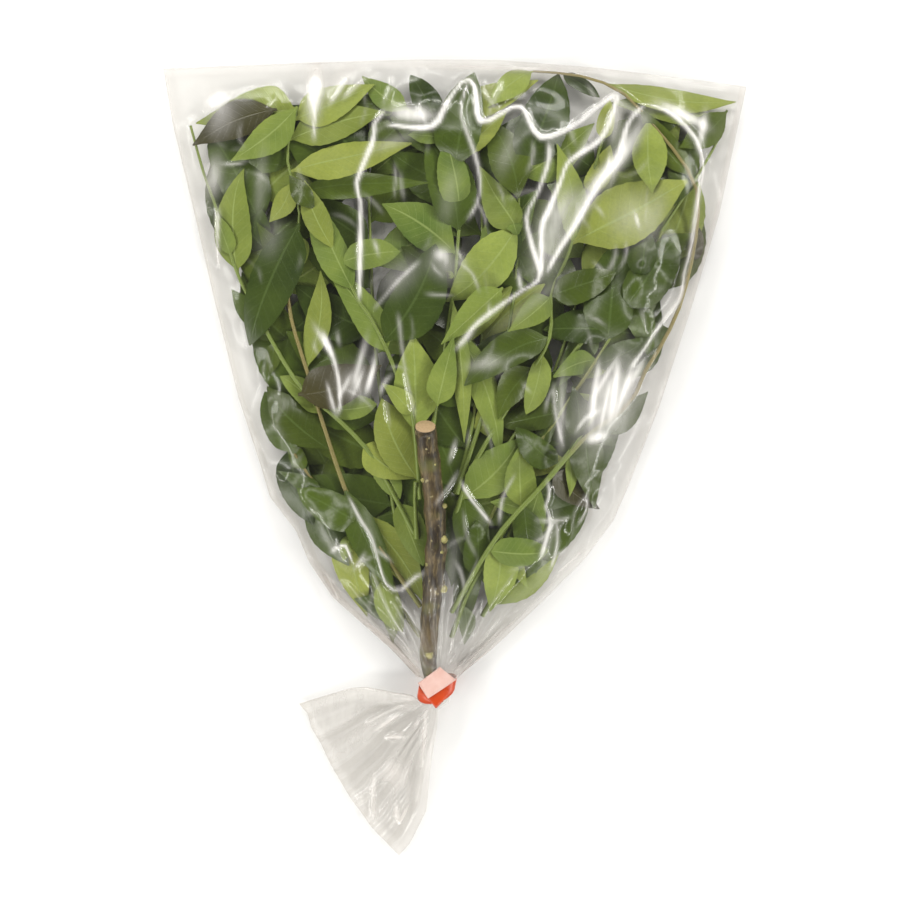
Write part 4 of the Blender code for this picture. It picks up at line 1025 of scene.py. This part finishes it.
def pleats(shares):
    """Folds that run out from the neck, by the place across the bag."""
    wave = np.abs(np.sin(math.pi * (9.0 * shares + 0.35 * np.sin(14 * shares))))
    wave2 = np.abs(np.sin(math.pi * (17.0 * shares + 0.2 + 0.3 * np.sin(9 * shares))))
    return 0.65 * (1 - wave) ** 1.5 + 0.35 * (1 - wave2)


def ring(x, y, z, haze_and_glare, shine, dull_and_shade):
    """Points of the film, each with its haziness and painted glare, its shine, and its dullness and painted
    shade there.
    """
    return np.column_stack(np.broadcast_arrays(x, y, z, haze_and_glare, shine, dull_and_shade))


def film_bag(pile):
    """The whole bag, one tube of film from its sealed end through the neck to the open mouth."""
    x, y, shares = body_plan()
    top = settled_film(x, y, pile)
    ridge, whitening_and_glint = crease_field(x, y, CREASES + crinkles() + gathers())
    ridge, whitening_and_glint = softened(softened(softened(ridge))), softened(whitening_and_glint)
    reach = y - NECK_START
    fold = pleats(shares)[None, :] * np.exp(-(reach / 32) ** 1.5) * np.clip(reach / 6, 0.25, 1)
    wide = (x[:, -1] - x[:, 0])[:, None] / 9
    top = top + ridge + fold * np.clip(wide * 0.36, 0.3, 0.9)
    top += 0.12 * np.sin(x * 0.31 + 2 * np.sin(y * 0.13)) * np.sin(y * 0.23 + 1.5 * np.sin(x * 0.11))
    beside_stem = x - x_at(STEM_ROUTE, y)
    beside = 1 - 0.8 * np.exp(-(beside_stem / 4.0) ** 2)
    veil = 0.36 * np.exp(-(reach / 18) ** 2) * beside
    # Haziness of the film, with painted highlights along the creases
    haze_and_glare = 0.006 + whitening_and_glint + 0.06 * fold + veil
    inside = inset(x, y)
    margin = np.exp(-(inside / 7.0) ** 2)
    border = np.exp(-(inside / 0.7) ** 2)
    # A darker band along the folded lower-left edge of the film: painted shade of the fold
    fold_shade_band = np.exp(-((inside - 2.2) / 1.6) ** 2) * (x < -14) * np.clip((-34 - y) / 10, 0, 1)
    fold_shade_band = fold_shade_band * (0.7 + 0.3 * np.sin(0.35 * y))
    over_stem = np.exp(-(beside_stem / 3.8) ** 2) * np.clip((-46 - y) / 12, 0, 1)
    haze_and_glare *= 1 - 0.8 * over_stem
    # Haziness at the margins and border, and the painted glare of the bright places
    haze_and_glare += 0.09 * margin + painted_glare(x, y) + 0.22 * border + 0.6 * fold_shade_band
    dull_and_shade = np.clip(border + 0.8 * margin + 0.9 * veil + 1.5 * fold_shade_band, 0, 1)
    shine = np.clip(0.34 + 1.6 * whitening_and_glint + veil, 0, 1) * np.interp(inside, (2, 14), (0.3, 1))
    rings = []
    for row in range(FILM_ROWS, -1, -1):
        over = ring(x[row], y[row], top[row], haze_and_glare[row], shine[row], dull_and_shade[row])
        full = float(np.clip((y[row, 0] - NECK_START - 6) / 26, 0.45, 1))
        places, lift = under_pleats(x[row, -1] - x[row, 0], full)
        share = max(1 - row / NECK_ROWS, 0.0)
        half_height = NECK_HALF_HEIGHT * np.sin(math.pi * places)
        low = UNDER_GAP + share ** 2 * (NECK_AXIS_HEIGHT - half_height - UNDER_GAP) + 0.5 * lift * full
        under = ring(np.interp(places, shares, x[row]), np.interp(places, shares, y[row]), low, *UNDERSIDE)
        rings.append(np.vstack([over, under]))
    rings += neck_and_mouth(shares)
    count = len(rings[0])
    shape = bmesh.new()
    marks = [shape.verts.layers.float.new(name) for name in ("haze_and_glare", "shine", "dull_and_shade")]
    loops = []
    for points in rings:
        points[:, 3] = np.clip(points[:, 3], 0, 0.95)
        loop = [shape.verts.new(point[:3] * MM) for point in points]
        for corner, point in zip(loop, points):
            for mark, number in zip(marks, point[3:]):
                corner[mark] = float(number)
        loops.append(loop)
    for upper, lower in zip(loops, loops[1:]):
        for i in range(count):
            shape.faces.new((upper[i], upper[(i + 1) % count], lower[(i + 1) % count], lower[i]))
    bmesh.ops.recalc_face_normals(shape, faces=shape.faces)
    mesh = bpy.data.meshes.new("film_tube")
    shape.to_mesh(mesh)
    shape.free()
    made = linked("film_tube", mesh)
    mesh.materials.append(materials["clear_film"])
    mesh.shade_smooth()
    for face in mesh.polygons:
        face.use_smooth = face.index % count < FILM_COLUMNS
    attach(made, "root")
    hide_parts("film_bag")


def under_pleats(width, fullness):
    """Where the underside's columns lie across the bag, from its right edge, and how high in their pleats.

    The film is wider than the bag where the bag narrows, so its underside lies in flat pleats.
    """
    back = min(max((FILM_WIDTH - width) / (2 * UNDER_PLEATS + 1), 0.0), 0.13 * width) * fullness / width
    step = (1 - back) / UNDER_PLEATS
    places, lift = [], []
    for pleat in range(UNDER_PLEATS):
        places += [pleat * step, (pleat + 1) * step + back]
        lift += [1.0 if pleat else 0.0, 0.0]
    return 1 - np.array(places + [1 - back, 1.0]), np.array(lift + [1.0, 0.0])


def along_border(border, shares):
    """Points at shares of a border's length."""
    return points_at(border, shares * travelled(border)[-1])


def mouth_folds(places, step):
    """Height of the flared mouth's folds, from 0 to 1, at places across it."""
    fold = np.zeros_like(places)
    for centre, width, size, drift in MOUTH_FOLDS:
        away = np.abs(places - centre - drift * step) / width
        fold = np.maximum(fold, size * (0.5 + 0.5 * np.cos(math.pi * np.minimum(away, 1))))
    return fold * np.interp(places, (0, 0.45, 0.62, 1), (0.45, 0.55, 1.0, 1.0))


def neck_and_mouth(shares):
    """Rings of the gathered neck and of the mouth that flares past the tape."""
    folded, lift = under_pleats(2 * NECK_HALF_WIDTH, 0.3)
    places = np.concatenate([shares, folded])
    lift = np.concatenate([0 * shares, lift])
    upper = np.arange(len(places)) < len(shares)
    flute = np.where(upper, pleats(places), 0.3)
    flat = places * 2 - 1
    bulge = np.sqrt(np.clip(1 - np.abs(flat) ** 2.4, 0, 1))
    half_height = NECK_HALF_HEIGHT - 0.5 + 0.35 * flute
    z = NECK_AXIS_HEIGHT + np.where(upper, 1, -1) * bulge * half_height + 0.25 * lift
    haze_and_glare, shine = np.where(upper, 0.35 + 0.1 * flute, 0.1), np.where(upper, 0.6, 0.1)
    rings = []
    for step in np.linspace(*NECK_REACH, NECK_RINGS):
        centre = np.array(NECK_CENTRE) + NECK_ALONG * step
        spots = centre + np.outer(flat * (NECK_HALF_WIDTH - 0.3), NECK_ACROSS)
        rings.append(ring(*spots.T, z, haze_and_glare, shine, 0.4))
    for step in np.linspace(0, 1, MOUTH_STEPS)[1:]:
        left, right = along_border(MOUTH_LEFT, step)[0], along_border(MOUTH_RIGHT, step)[0]
        size = np.linalg.norm(right - left)
        places = np.concatenate([shares, under_pleats(size, 0.5)[0]])
        chord = np.array(MOUTH_RIM[0]) + np.outer(places, np.array(MOUTH_RIM[-1]) - np.array(MOUTH_RIM[0]))
        body = np.sqrt(np.clip(1 - np.abs(places * 2 - 1) ** 2.2, 0, 1))
        rounding = (along_border(MOUTH_RIM, places) - chord) * step ** 1.5
        spots = left + np.outer(places, right - left) + rounding
        fold = mouth_folds(places + 0.015 * np.sin(7 * places + 3 * step), step)
        if step < 0.2:
            fold = fold * step / 0.2 + pleats(places) * (1 - step / 0.2)
        base = 1.0 + (NECK_AXIS_HEIGHT - 1.0) * (1 - step) ** 1.6
        height = (NECK_HALF_HEIGHT - 0.4) * (1 - step) ** 1.2 + 0.9 * math.sin(math.pi * step)
        above = base + body * (height + fold * min(0.05 * size, 1.8))
        below = np.maximum(base - body * height, UNDER_GAP) + 0.35 * lift
        ridge, whitening_and_glint = crease_field(*spots.T, MOUTH_CREASES)
        z = np.where(upper, np.maximum(above, 0.9) + ridge, below)
        # The painted highlight of the mouth's one bright place
        middle, spread, strength = MOUTH_GLINT
        glint_patch = strength * np.exp(-(((spots - middle) / spread) ** 2).sum(axis=1))
        # Painted light and shade of the mouth's broad folds
        fold_shading = np.interp(places + 0.02 * np.sin(5 * step), *zip(*MOUTH_FOLD_SHADE))
        near_rim = np.exp(-((1 - step) / 0.02) ** 2) + np.exp(-(np.minimum(places, 1 - places) / 0.012) ** 2)
        haze_and_glare = np.where(upper, 0.42 - 0.30 * fold_shading + 0.05 * fold + whitening_and_glint + glint_patch, 0.0)
        dull_and_shade = np.clip(fold_shading + 0.16 + 0.6 * near_rim, 0, 1)
        rings.append(ring(*spots.T, z, haze_and_glare, np.where(upper, 0.35 + whitening_and_glint, 0.1), dull_and_shade))
    return rings


# --- tape --------------------------------------------------------------------------------------

# The tape's low and high edges as slanted cuts: along the neck at its middle, per mm across, per mm up
TAPE_CUTS = ((-1.0, -0.38, 1.2), (-4.9, -0.417, 0.6))
TAPE_THICKNESS, FLAP_THICKNESS, TAPE_BEND = 0.35 * MM, 0.3 * MM, 7.6
# Corners of the tape's turned-up end and of its fold, which is coloured pale pink as painted sheen of the
# light on it
TAPE_END = [(-12.9, -90.2), (-0.6, -84.9), (-7.8, -95.8), (-0.9, -88.6)]
TAPE_FOLD = [(-14.7, -86.4), (-6.4, -79.8), (-10.9, -92.1), (-0.2, -85.0)]


def tape_band():
    """The band of tape round the neck: a tube cut off slanting at both ends."""
    along, across = np.array([*NECK_ALONG, 0]), np.array([*NECK_ACROSS, 0])
    middle = np.array([*NECK_CENTRE, NECK_AXIS_HEIGHT])
    half_width, half_height = NECK_HALF_WIDTH + 0.55, NECK_HALF_HEIGHT + 0.4
    deselect()
    bpy.ops.mesh.primitive_cylinder_add(vertices=72, radius=1, depth=1, end_fill_type="NOTHING",
                                        location=middle * MM,
                                        rotation=(math.radians(90), 0, NECK_WAY + math.pi / 2),
                                        scale=(half_width * MM, half_height * MM, 30 * MM))
    band = bpy.context.object
    band.name = "tape_band"
    place_applied()
    bpy.ops.object.mode_set(mode="EDIT")
    for side, (start, per_across, per_up) in zip((1, -1), TAPE_CUTS):
        bpy.ops.mesh.select_all(action="SELECT")
        facing = (along - per_across * across - per_up * np.array([0, 0, 1])) * side
        bpy.ops.mesh.bisect(plane_co=tuple((middle + along * start) * MM), plane_no=tuple(facing),
                            clear_outer=True)
    bpy.ops.object.mode_set(mode="OBJECT")
    walled(band, TAPE_THICKNESS, 1, ["tape_red"])
    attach(band, "root")
    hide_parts("neck_tape")


def tape_flap(name, corners, above, face, rim):
    """An end of the tape laid over the band: its corners' plan and its height above the band."""
    deselect()
    bpy.ops.mesh.primitive_grid_add(x_subdivisions=14, y_subdivisions=8, size=1.0, location=(0.5, 0.5, 0))
    place_applied()
    flap = bpy.context.object
    flap.name = name
    first, second, third, fourth = (np.array(corner) for corner in corners)
    for corner in flap.data.vertices:
        a, b = corner.co.x, corner.co.y
        spot = (1 - b) * ((1 - a) * first + a * second) + b * ((1 - a) * third + a * fourth)
        away = min(abs(float((spot - np.array(NECK_CENTRE)) @ NECK_ACROSS)) / TAPE_BEND, 1.0)
        height = NECK_AXIS_HEIGHT + (NECK_HALF_HEIGHT + 0.9 + above) * math.sqrt(1 - away ** 2)
        corner.co = (*(spot * MM), height * MM)
    walled(flap, FLAP_THICKNESS, 0, (face, rim), material_offset_rim=1)
    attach(flap, "root")


# --- materials ---------------------------------------------------------------------------------

class Nodes:
    """Short ways to add nodes to a tree."""

    def __init__(self, tree):
        self.tree = tree

    def set(self, node, socket, value):
        """Links or sets an input, given by its number or by its name with _ for a space."""
        socket = node.inputs[socket.replace("_", " ") if isinstance(socket, str) else socket]
        if isinstance(value, bpy.types.NodeSocket):
            self.tree.links.new(value, socket)
        else:
            socket.default_value = value

    def add(self, kind, settings=None, inputs=(), **named):
        node = self.tree.nodes.new(kind)
        for name, value in (settings or {}).items():
            setattr(node, name, value)
        for socket, value in [*enumerate(inputs), *named.items()]:
            self.set(node, socket, value)
        return node

    def math(self, operation, *values, clamp=False):
        return self.add("ShaderNodeMath", {"operation": operation, "use_clamp": clamp}, values).outputs[0]

    def times(self, first, second, clamp=False):
        return self.math("MULTIPLY", first, second, clamp=clamp)

    def plus(self, first, second):
        return self.math("ADD", first, second)

    def scaled(self, value, scale, start):
        return self.math("MULTIPLY_ADD", value, scale, start)

    def mix(self, factor, first, second):
        node = self.add("ShaderNodeMix", {"data_type": "RGBA"}, [factor])
        self.set(node, 6, first)
        self.set(node, 7, second)
        return node.outputs[2]

    def step(self, *values):
        """A smooth step of a value between a low and a high, from 0 to 1 or to what follows them."""
        return self.add("ShaderNodeMapRange", {"interpolation_type": "SMOOTHSTEP"}, values).outputs[0]

    def noise(self, vector, scale, detail, rough=0.5):
        node = self.add("ShaderNodeTexNoise", Vector=vector, Scale=scale, Detail=detail, Roughness=rough)
        return node.outputs[0]

    def drawn_out(self, vector, **sockets):
        return self.add("ShaderNodeMapping", Vector=vector, **sockets).outputs[0]

    def mark(self, name):
        """A number that the mesh gives each of its corners."""
        return self.add("ShaderNodeAttribute", {"attribute_name": name}).outputs["Fac"]

    def bump(self, strength, distance, height):
        return self.add("ShaderNodeBump", Strength=strength, Distance=distance, Height=height)

    def finish(self, shader, colour, roughness, bump=None):
        self.set(shader, "Base_Color", colour)
        self.set(shader, "Roughness", roughness)
        if bump:
            self.set(shader, "Normal", bump.outputs[0])


def new_material(name):
    """A new material's nodes, its shader and the place on the piece."""
    made = bpy.data.materials.new(name)
    made.use_nodes = True
    materials[name] = made
    n = Nodes(made.node_tree)
    return n, made.node_tree.nodes["Principled BSDF"], n.add("ShaderNodeTexCoord").outputs["Object"]


SIDE_VEINS, VEIN_NET = 11, 34.0


def vein_group():
    """Masks of a leaflet's midrib, side veins and net of small veins, from its own UV map."""
    group = bpy.data.node_groups.new("leaf_veins", "ShaderNodeTree")
    group.interface.new_socket("UV", in_out="INPUT", socket_type="NodeSocketVector")
    for name in ("Midrib", "Side veins", "Net"):
        group.interface.new_socket(name, in_out="OUTPUT", socket_type="NodeSocketFloat")
    n = Nodes(group)
    start, end = n.add("NodeGroupInput"), n.add("NodeGroupOutput")
    along, v, _ = n.add("ShaderNodeSeparateXYZ", None, [start.outputs["UV"]]).outputs
    away = n.times(n.math("ABSOLUTE", n.math("SUBTRACT", v, 0.5)), 2.0)
    n.set(end, "Midrib", n.step(away, 0.015, 0.075, 1.0, 0.0))
    run = n.math("SUBTRACT", along, n.times(away, 0.16))
    wave = n.math("SINE", n.times(run, 2 * math.pi * SIDE_VEINS))
    n.set(end, "Side veins", n.times(n.step(wave, 0.86, 1.0), n.step(away, 0.75, 1.0, 1.0, 0.0)))
    net = n.add("ShaderNodeTexVoronoi", {"feature": "DISTANCE_TO_EDGE"},
                Vector=start.outputs["UV"], Scale=VEIN_NET)
    n.set(end, "Net", n.step(net.outputs[0], 0.0, 0.10, 1.0, 0.0))
    return group


# Two colours and the midrib's, roughness, gloss, bump, how much the veins show and how far they stand out
LEAF_FACES = {
    "leaf_upper": ((0.019, 0.035, 0.004), (0.069, 0.107, 0.011), (0.12, 0.18, 0.05),
                   0.30, 0.4, 0.30, 0.55, -0.00016),
    "leaf_under": ((0.080, 0.133, 0.020), (0.252, 0.312, 0.060), (0.30, 0.37, 0.12),
                   0.55, 0.22, 0.40, 1.0, 0.00018),
    "leaf_withered": ((0.022, 0.021, 0.007), (0.074, 0.070, 0.022), (0.10, 0.095, 0.04),
                      0.30, 0.4, 0.45, 0.45, -0.00016),
}


def leaf_materials():
    """The upper face, the underside and a withered face of the leaflets."""
    veins = vein_group()
    for name, (deep, pale, rib, rough, gloss, bump, veined, relief) in LEAF_FACES.items():
        yellowed = (pale[0] * 1.25, pale[1] * 0.98, pale[2] * 0.8, 1)
        deep, pale, rib = (*deep, 1), (*pale, 1), (*rib, 1)
        n, shader, place = new_material(name)
        tone = n.mark("tone")
        pattern = n.add("ShaderNodeGroup", {"node_tree": veins},
                        UV=n.add("ShaderNodeUVMap", {"uv_map": "UVMap"}).outputs[0])
        midrib, side_veins, net = pattern.outputs
        broad = n.noise(place, 60.0, 3.0)
        fine = n.noise(place, 900.0, 2.0)
        amount = n.math("SUBTRACT", n.plus(n.times(tone, 0.80), n.times(broad, 1.3)), 0.48, clamp=True)
        colour = n.mix(amount, deep, pale)
        some = n.step(n.math("FRACT", n.times(tone, 7.3)), 0.45, 1.0)
        colour = n.mix(n.times(some, 0.30), colour, yellowed)
        colour = n.mix(n.times(side_veins, 0.13 * veined), colour, rib)
        colour = n.mix(n.times(midrib, 0.55 * veined), colour, rib)
        colour = n.mix(n.times(n.step(fine, 0.35, 0.75), 0.16), colour, deep)
        colour = n.mix(n.times(net, 0.10), colour, rib)
        height = n.plus(n.plus(n.times(side_veins, 0.5), midrib), n.times(n.noise(place, 260.0, 2.0), 1.2))
        lift = n.bump(bump, abs(relief), height)
        lift.invert = relief < 0
        n.finish(shader, colour, n.scaled(broad, 0.18, rough - 0.09), lift)
        shader.inputs["Specular IOR Level"].default_value = gloss


def stalk_materials():
    """Green to tan skin of the leaf stalks."""
    n, shader, place = new_material("stalk_skin")
    broad = n.noise(place, 45.0, 2.0)
    amount = n.plus(n.times(n.mark("tone"), 0.7), n.times(broad, 0.6))
    colour = n.mix(n.step(amount, 0.55, 0.95), (0.180, 0.245, 0.042, 1), (0.26, 0.205, 0.068, 1))
    colour = n.mix(n.times(n.noise(place, 700.0, 2.0), 0.5), colour, (0.075, 0.095, 0.022, 1))
    n.finish(shader, colour, n.scaled(broad, 0.2, 0.32), n.bump(0.3, 0.0002, n.noise(place, 500.0, 2.0)))


def stem_materials():
    """Bark, the pale cut end, and buds and scars."""
    n, shader, place = new_material("stem_bark")
    streaks = n.noise(n.drawn_out(place, Scale=(1.0, 0.22, 1.0)), 900.0, 4.0, 0.6)
    broad = n.noise(place, 120.0, 3.0)
    olive = n.step(n.noise(place, 75.0, 2.0), 0.52, 0.66)
    spots = n.step(n.noise(place, 420.0, 1.0), 0.68, 0.74)
    colour = n.mix(n.step(broad, 0.35, 0.70), (0.018, 0.011, 0.004, 1), (0.088, 0.058, 0.020, 1))
    colour = n.mix(n.times(olive, 0.6), colour, (0.11, 0.115, 0.025, 1))
    colour = n.mix(n.times(n.step(streaks, 0.45, 0.75), 0.6), colour, (0.24, 0.18, 0.08, 1))
    colour = n.mix(n.times(spots, 0.7), colour, (0.40, 0.35, 0.18, 1))
    ridges = n.plus(streaks, n.times(broad, 0.8))
    n.finish(shader, colour, n.scaled(broad, 0.3, 0.30), n.bump(0.6, 0.0005, ridges))

    n, shader, place = new_material("cut_wood")
    grain = n.noise(place, 1200.0, 2.0)
    n.finish(shader, n.mix(grain, (0.34, 0.22, 0.11, 1), (0.55, 0.40, 0.24, 1)), n.scaled(grain, 0.2, 0.55))

    n, shader, place = new_material("scar")
    grain = n.noise(place, 500.0, 2.0)
    colour = n.mix(n.step(grain, 0.3, 0.7), (0.14, 0.13, 0.03, 1), (0.42, 0.38, 0.14, 1))
    n.finish(shader, colour, n.scaled(grain, 0.3, 0.35))


def tape_materials():
    """The tape's red face, and a pale pink that paints the sheen of light on its fold and on the rim of its
    end.
    """
    n, shader, place = new_material("tape_red")
    cloud = n.noise(place, 220.0, 2.0)
    colour = n.mix(cloud, (0.43, 0.036, 0.008, 1), (0.585, 0.080, 0.016, 1))
    n.finish(shader, colour, n.scaled(cloud, 0.2, 0.22), n.bump(0.3, 0.0004, cloud))

    n, shader, place = new_material("tape_painted_sheen")
    cloud = n.noise(place, 260.0, 2.0)
    n.finish(shader, n.mix(cloud, (0.58, 0.33, 0.27, 1), (0.70, 0.50, 0.45, 1)), n.scaled(cloud, 0.2, 0.30))


def film_material():
    """Clear film: what is behind it, a little haziness with painted highlights and painted glare in it, and
    the gloss of its two faces.
    """
    n, shader, place = new_material("clear_film")
    drawn = n.drawn_out(place, Rotation=(0, 0, 0.25), Scale=(1.0, 0.3, 1.0))
    streaks = n.scaled(n.step(n.noise(drawn, 420.0, 3.0), 0.3, 0.7), 0.16, 0.92)
    haze_and_glare = n.times(n.mark("haze_and_glare"), streaks, clamp=True)
    # Colour of the haziness, paler where it paints highlights and glare
    pale_haze_and_glint = n.mix(n.step(haze_and_glare, 0.10, 0.55), (0.72, 0.70, 0.68, 1), (0.97, 0.95, 0.925, 1))
    n.finish(shader, n.mix(n.mark("dull_and_shade"), pale_haze_and_glint, (0.40, 0.358, 0.325, 1)),
             n.scaled(n.noise(place, 300.0, 2.0), 0.10, 0.20))
    facing = n.add("ShaderNodeLayerWeight", Blend=0.5).outputs["Facing"]
    mirror = n.scaled(n.mark("shine"), 0.06, n.times(n.math("POWER", facing, 4.0), 0.6))
    clear = n.add("ShaderNodeBsdfTransparent", Color=(0.990, 0.987, 0.979, 1))
    ripple = n.bump(0.10, 0.0006, n.noise(place, 110.0, 2.0))
    gloss = n.add("ShaderNodeBsdfGlossy", Color=(1, 1, 1, 1), Roughness=0.13, Normal=ripple.outputs[0])
    pane = n.add("ShaderNodeMixShader", None, (mirror, clear.outputs[0], gloss.outputs[0]))
    whole = n.add("ShaderNodeMixShader", None, (haze_and_glare, pane.outputs[0], shader.outputs[0]))
    n.set(n.tree.nodes["Material Output"], "Surface", whole.outputs[0])


# --- making ------------------------------------------------------------------------------------

studio()
leaf_materials()
stalk_materials()
stem_materials()
film_material()
tape_materials()
for blank_name in OUTLINES:
    blanks[blank_name] = leaf_blank(blank_name)

heap = Pile()
for number, (name, layer, route) in enumerate(LOW_FRONDS):
    frond(name, layer, route, low_leaflets(route, number), heap)
for name, layer, route, leaflets in PLACED_FRONDS:
    frond(name, layer, route, leaflets, heap)
for shed in SHED_LEAFLETS:
    shed_leaflet(*shed, heap)
main_stem(heap)
broken_stalk(heap)
film_bag(heap)
tape_band()
# The end's rim and the whole fold take the pale pink of painted sheen
tape_flap("tape_end", TAPE_END, 0.0, "tape_red", "tape_painted_sheen")
tape_flap("tape_fold", TAPE_FOLD, 0.5, "tape_painted_sheen", "tape_painted_sheen")
for blank in blanks.values():
    bpy.data.objects.remove(blank)
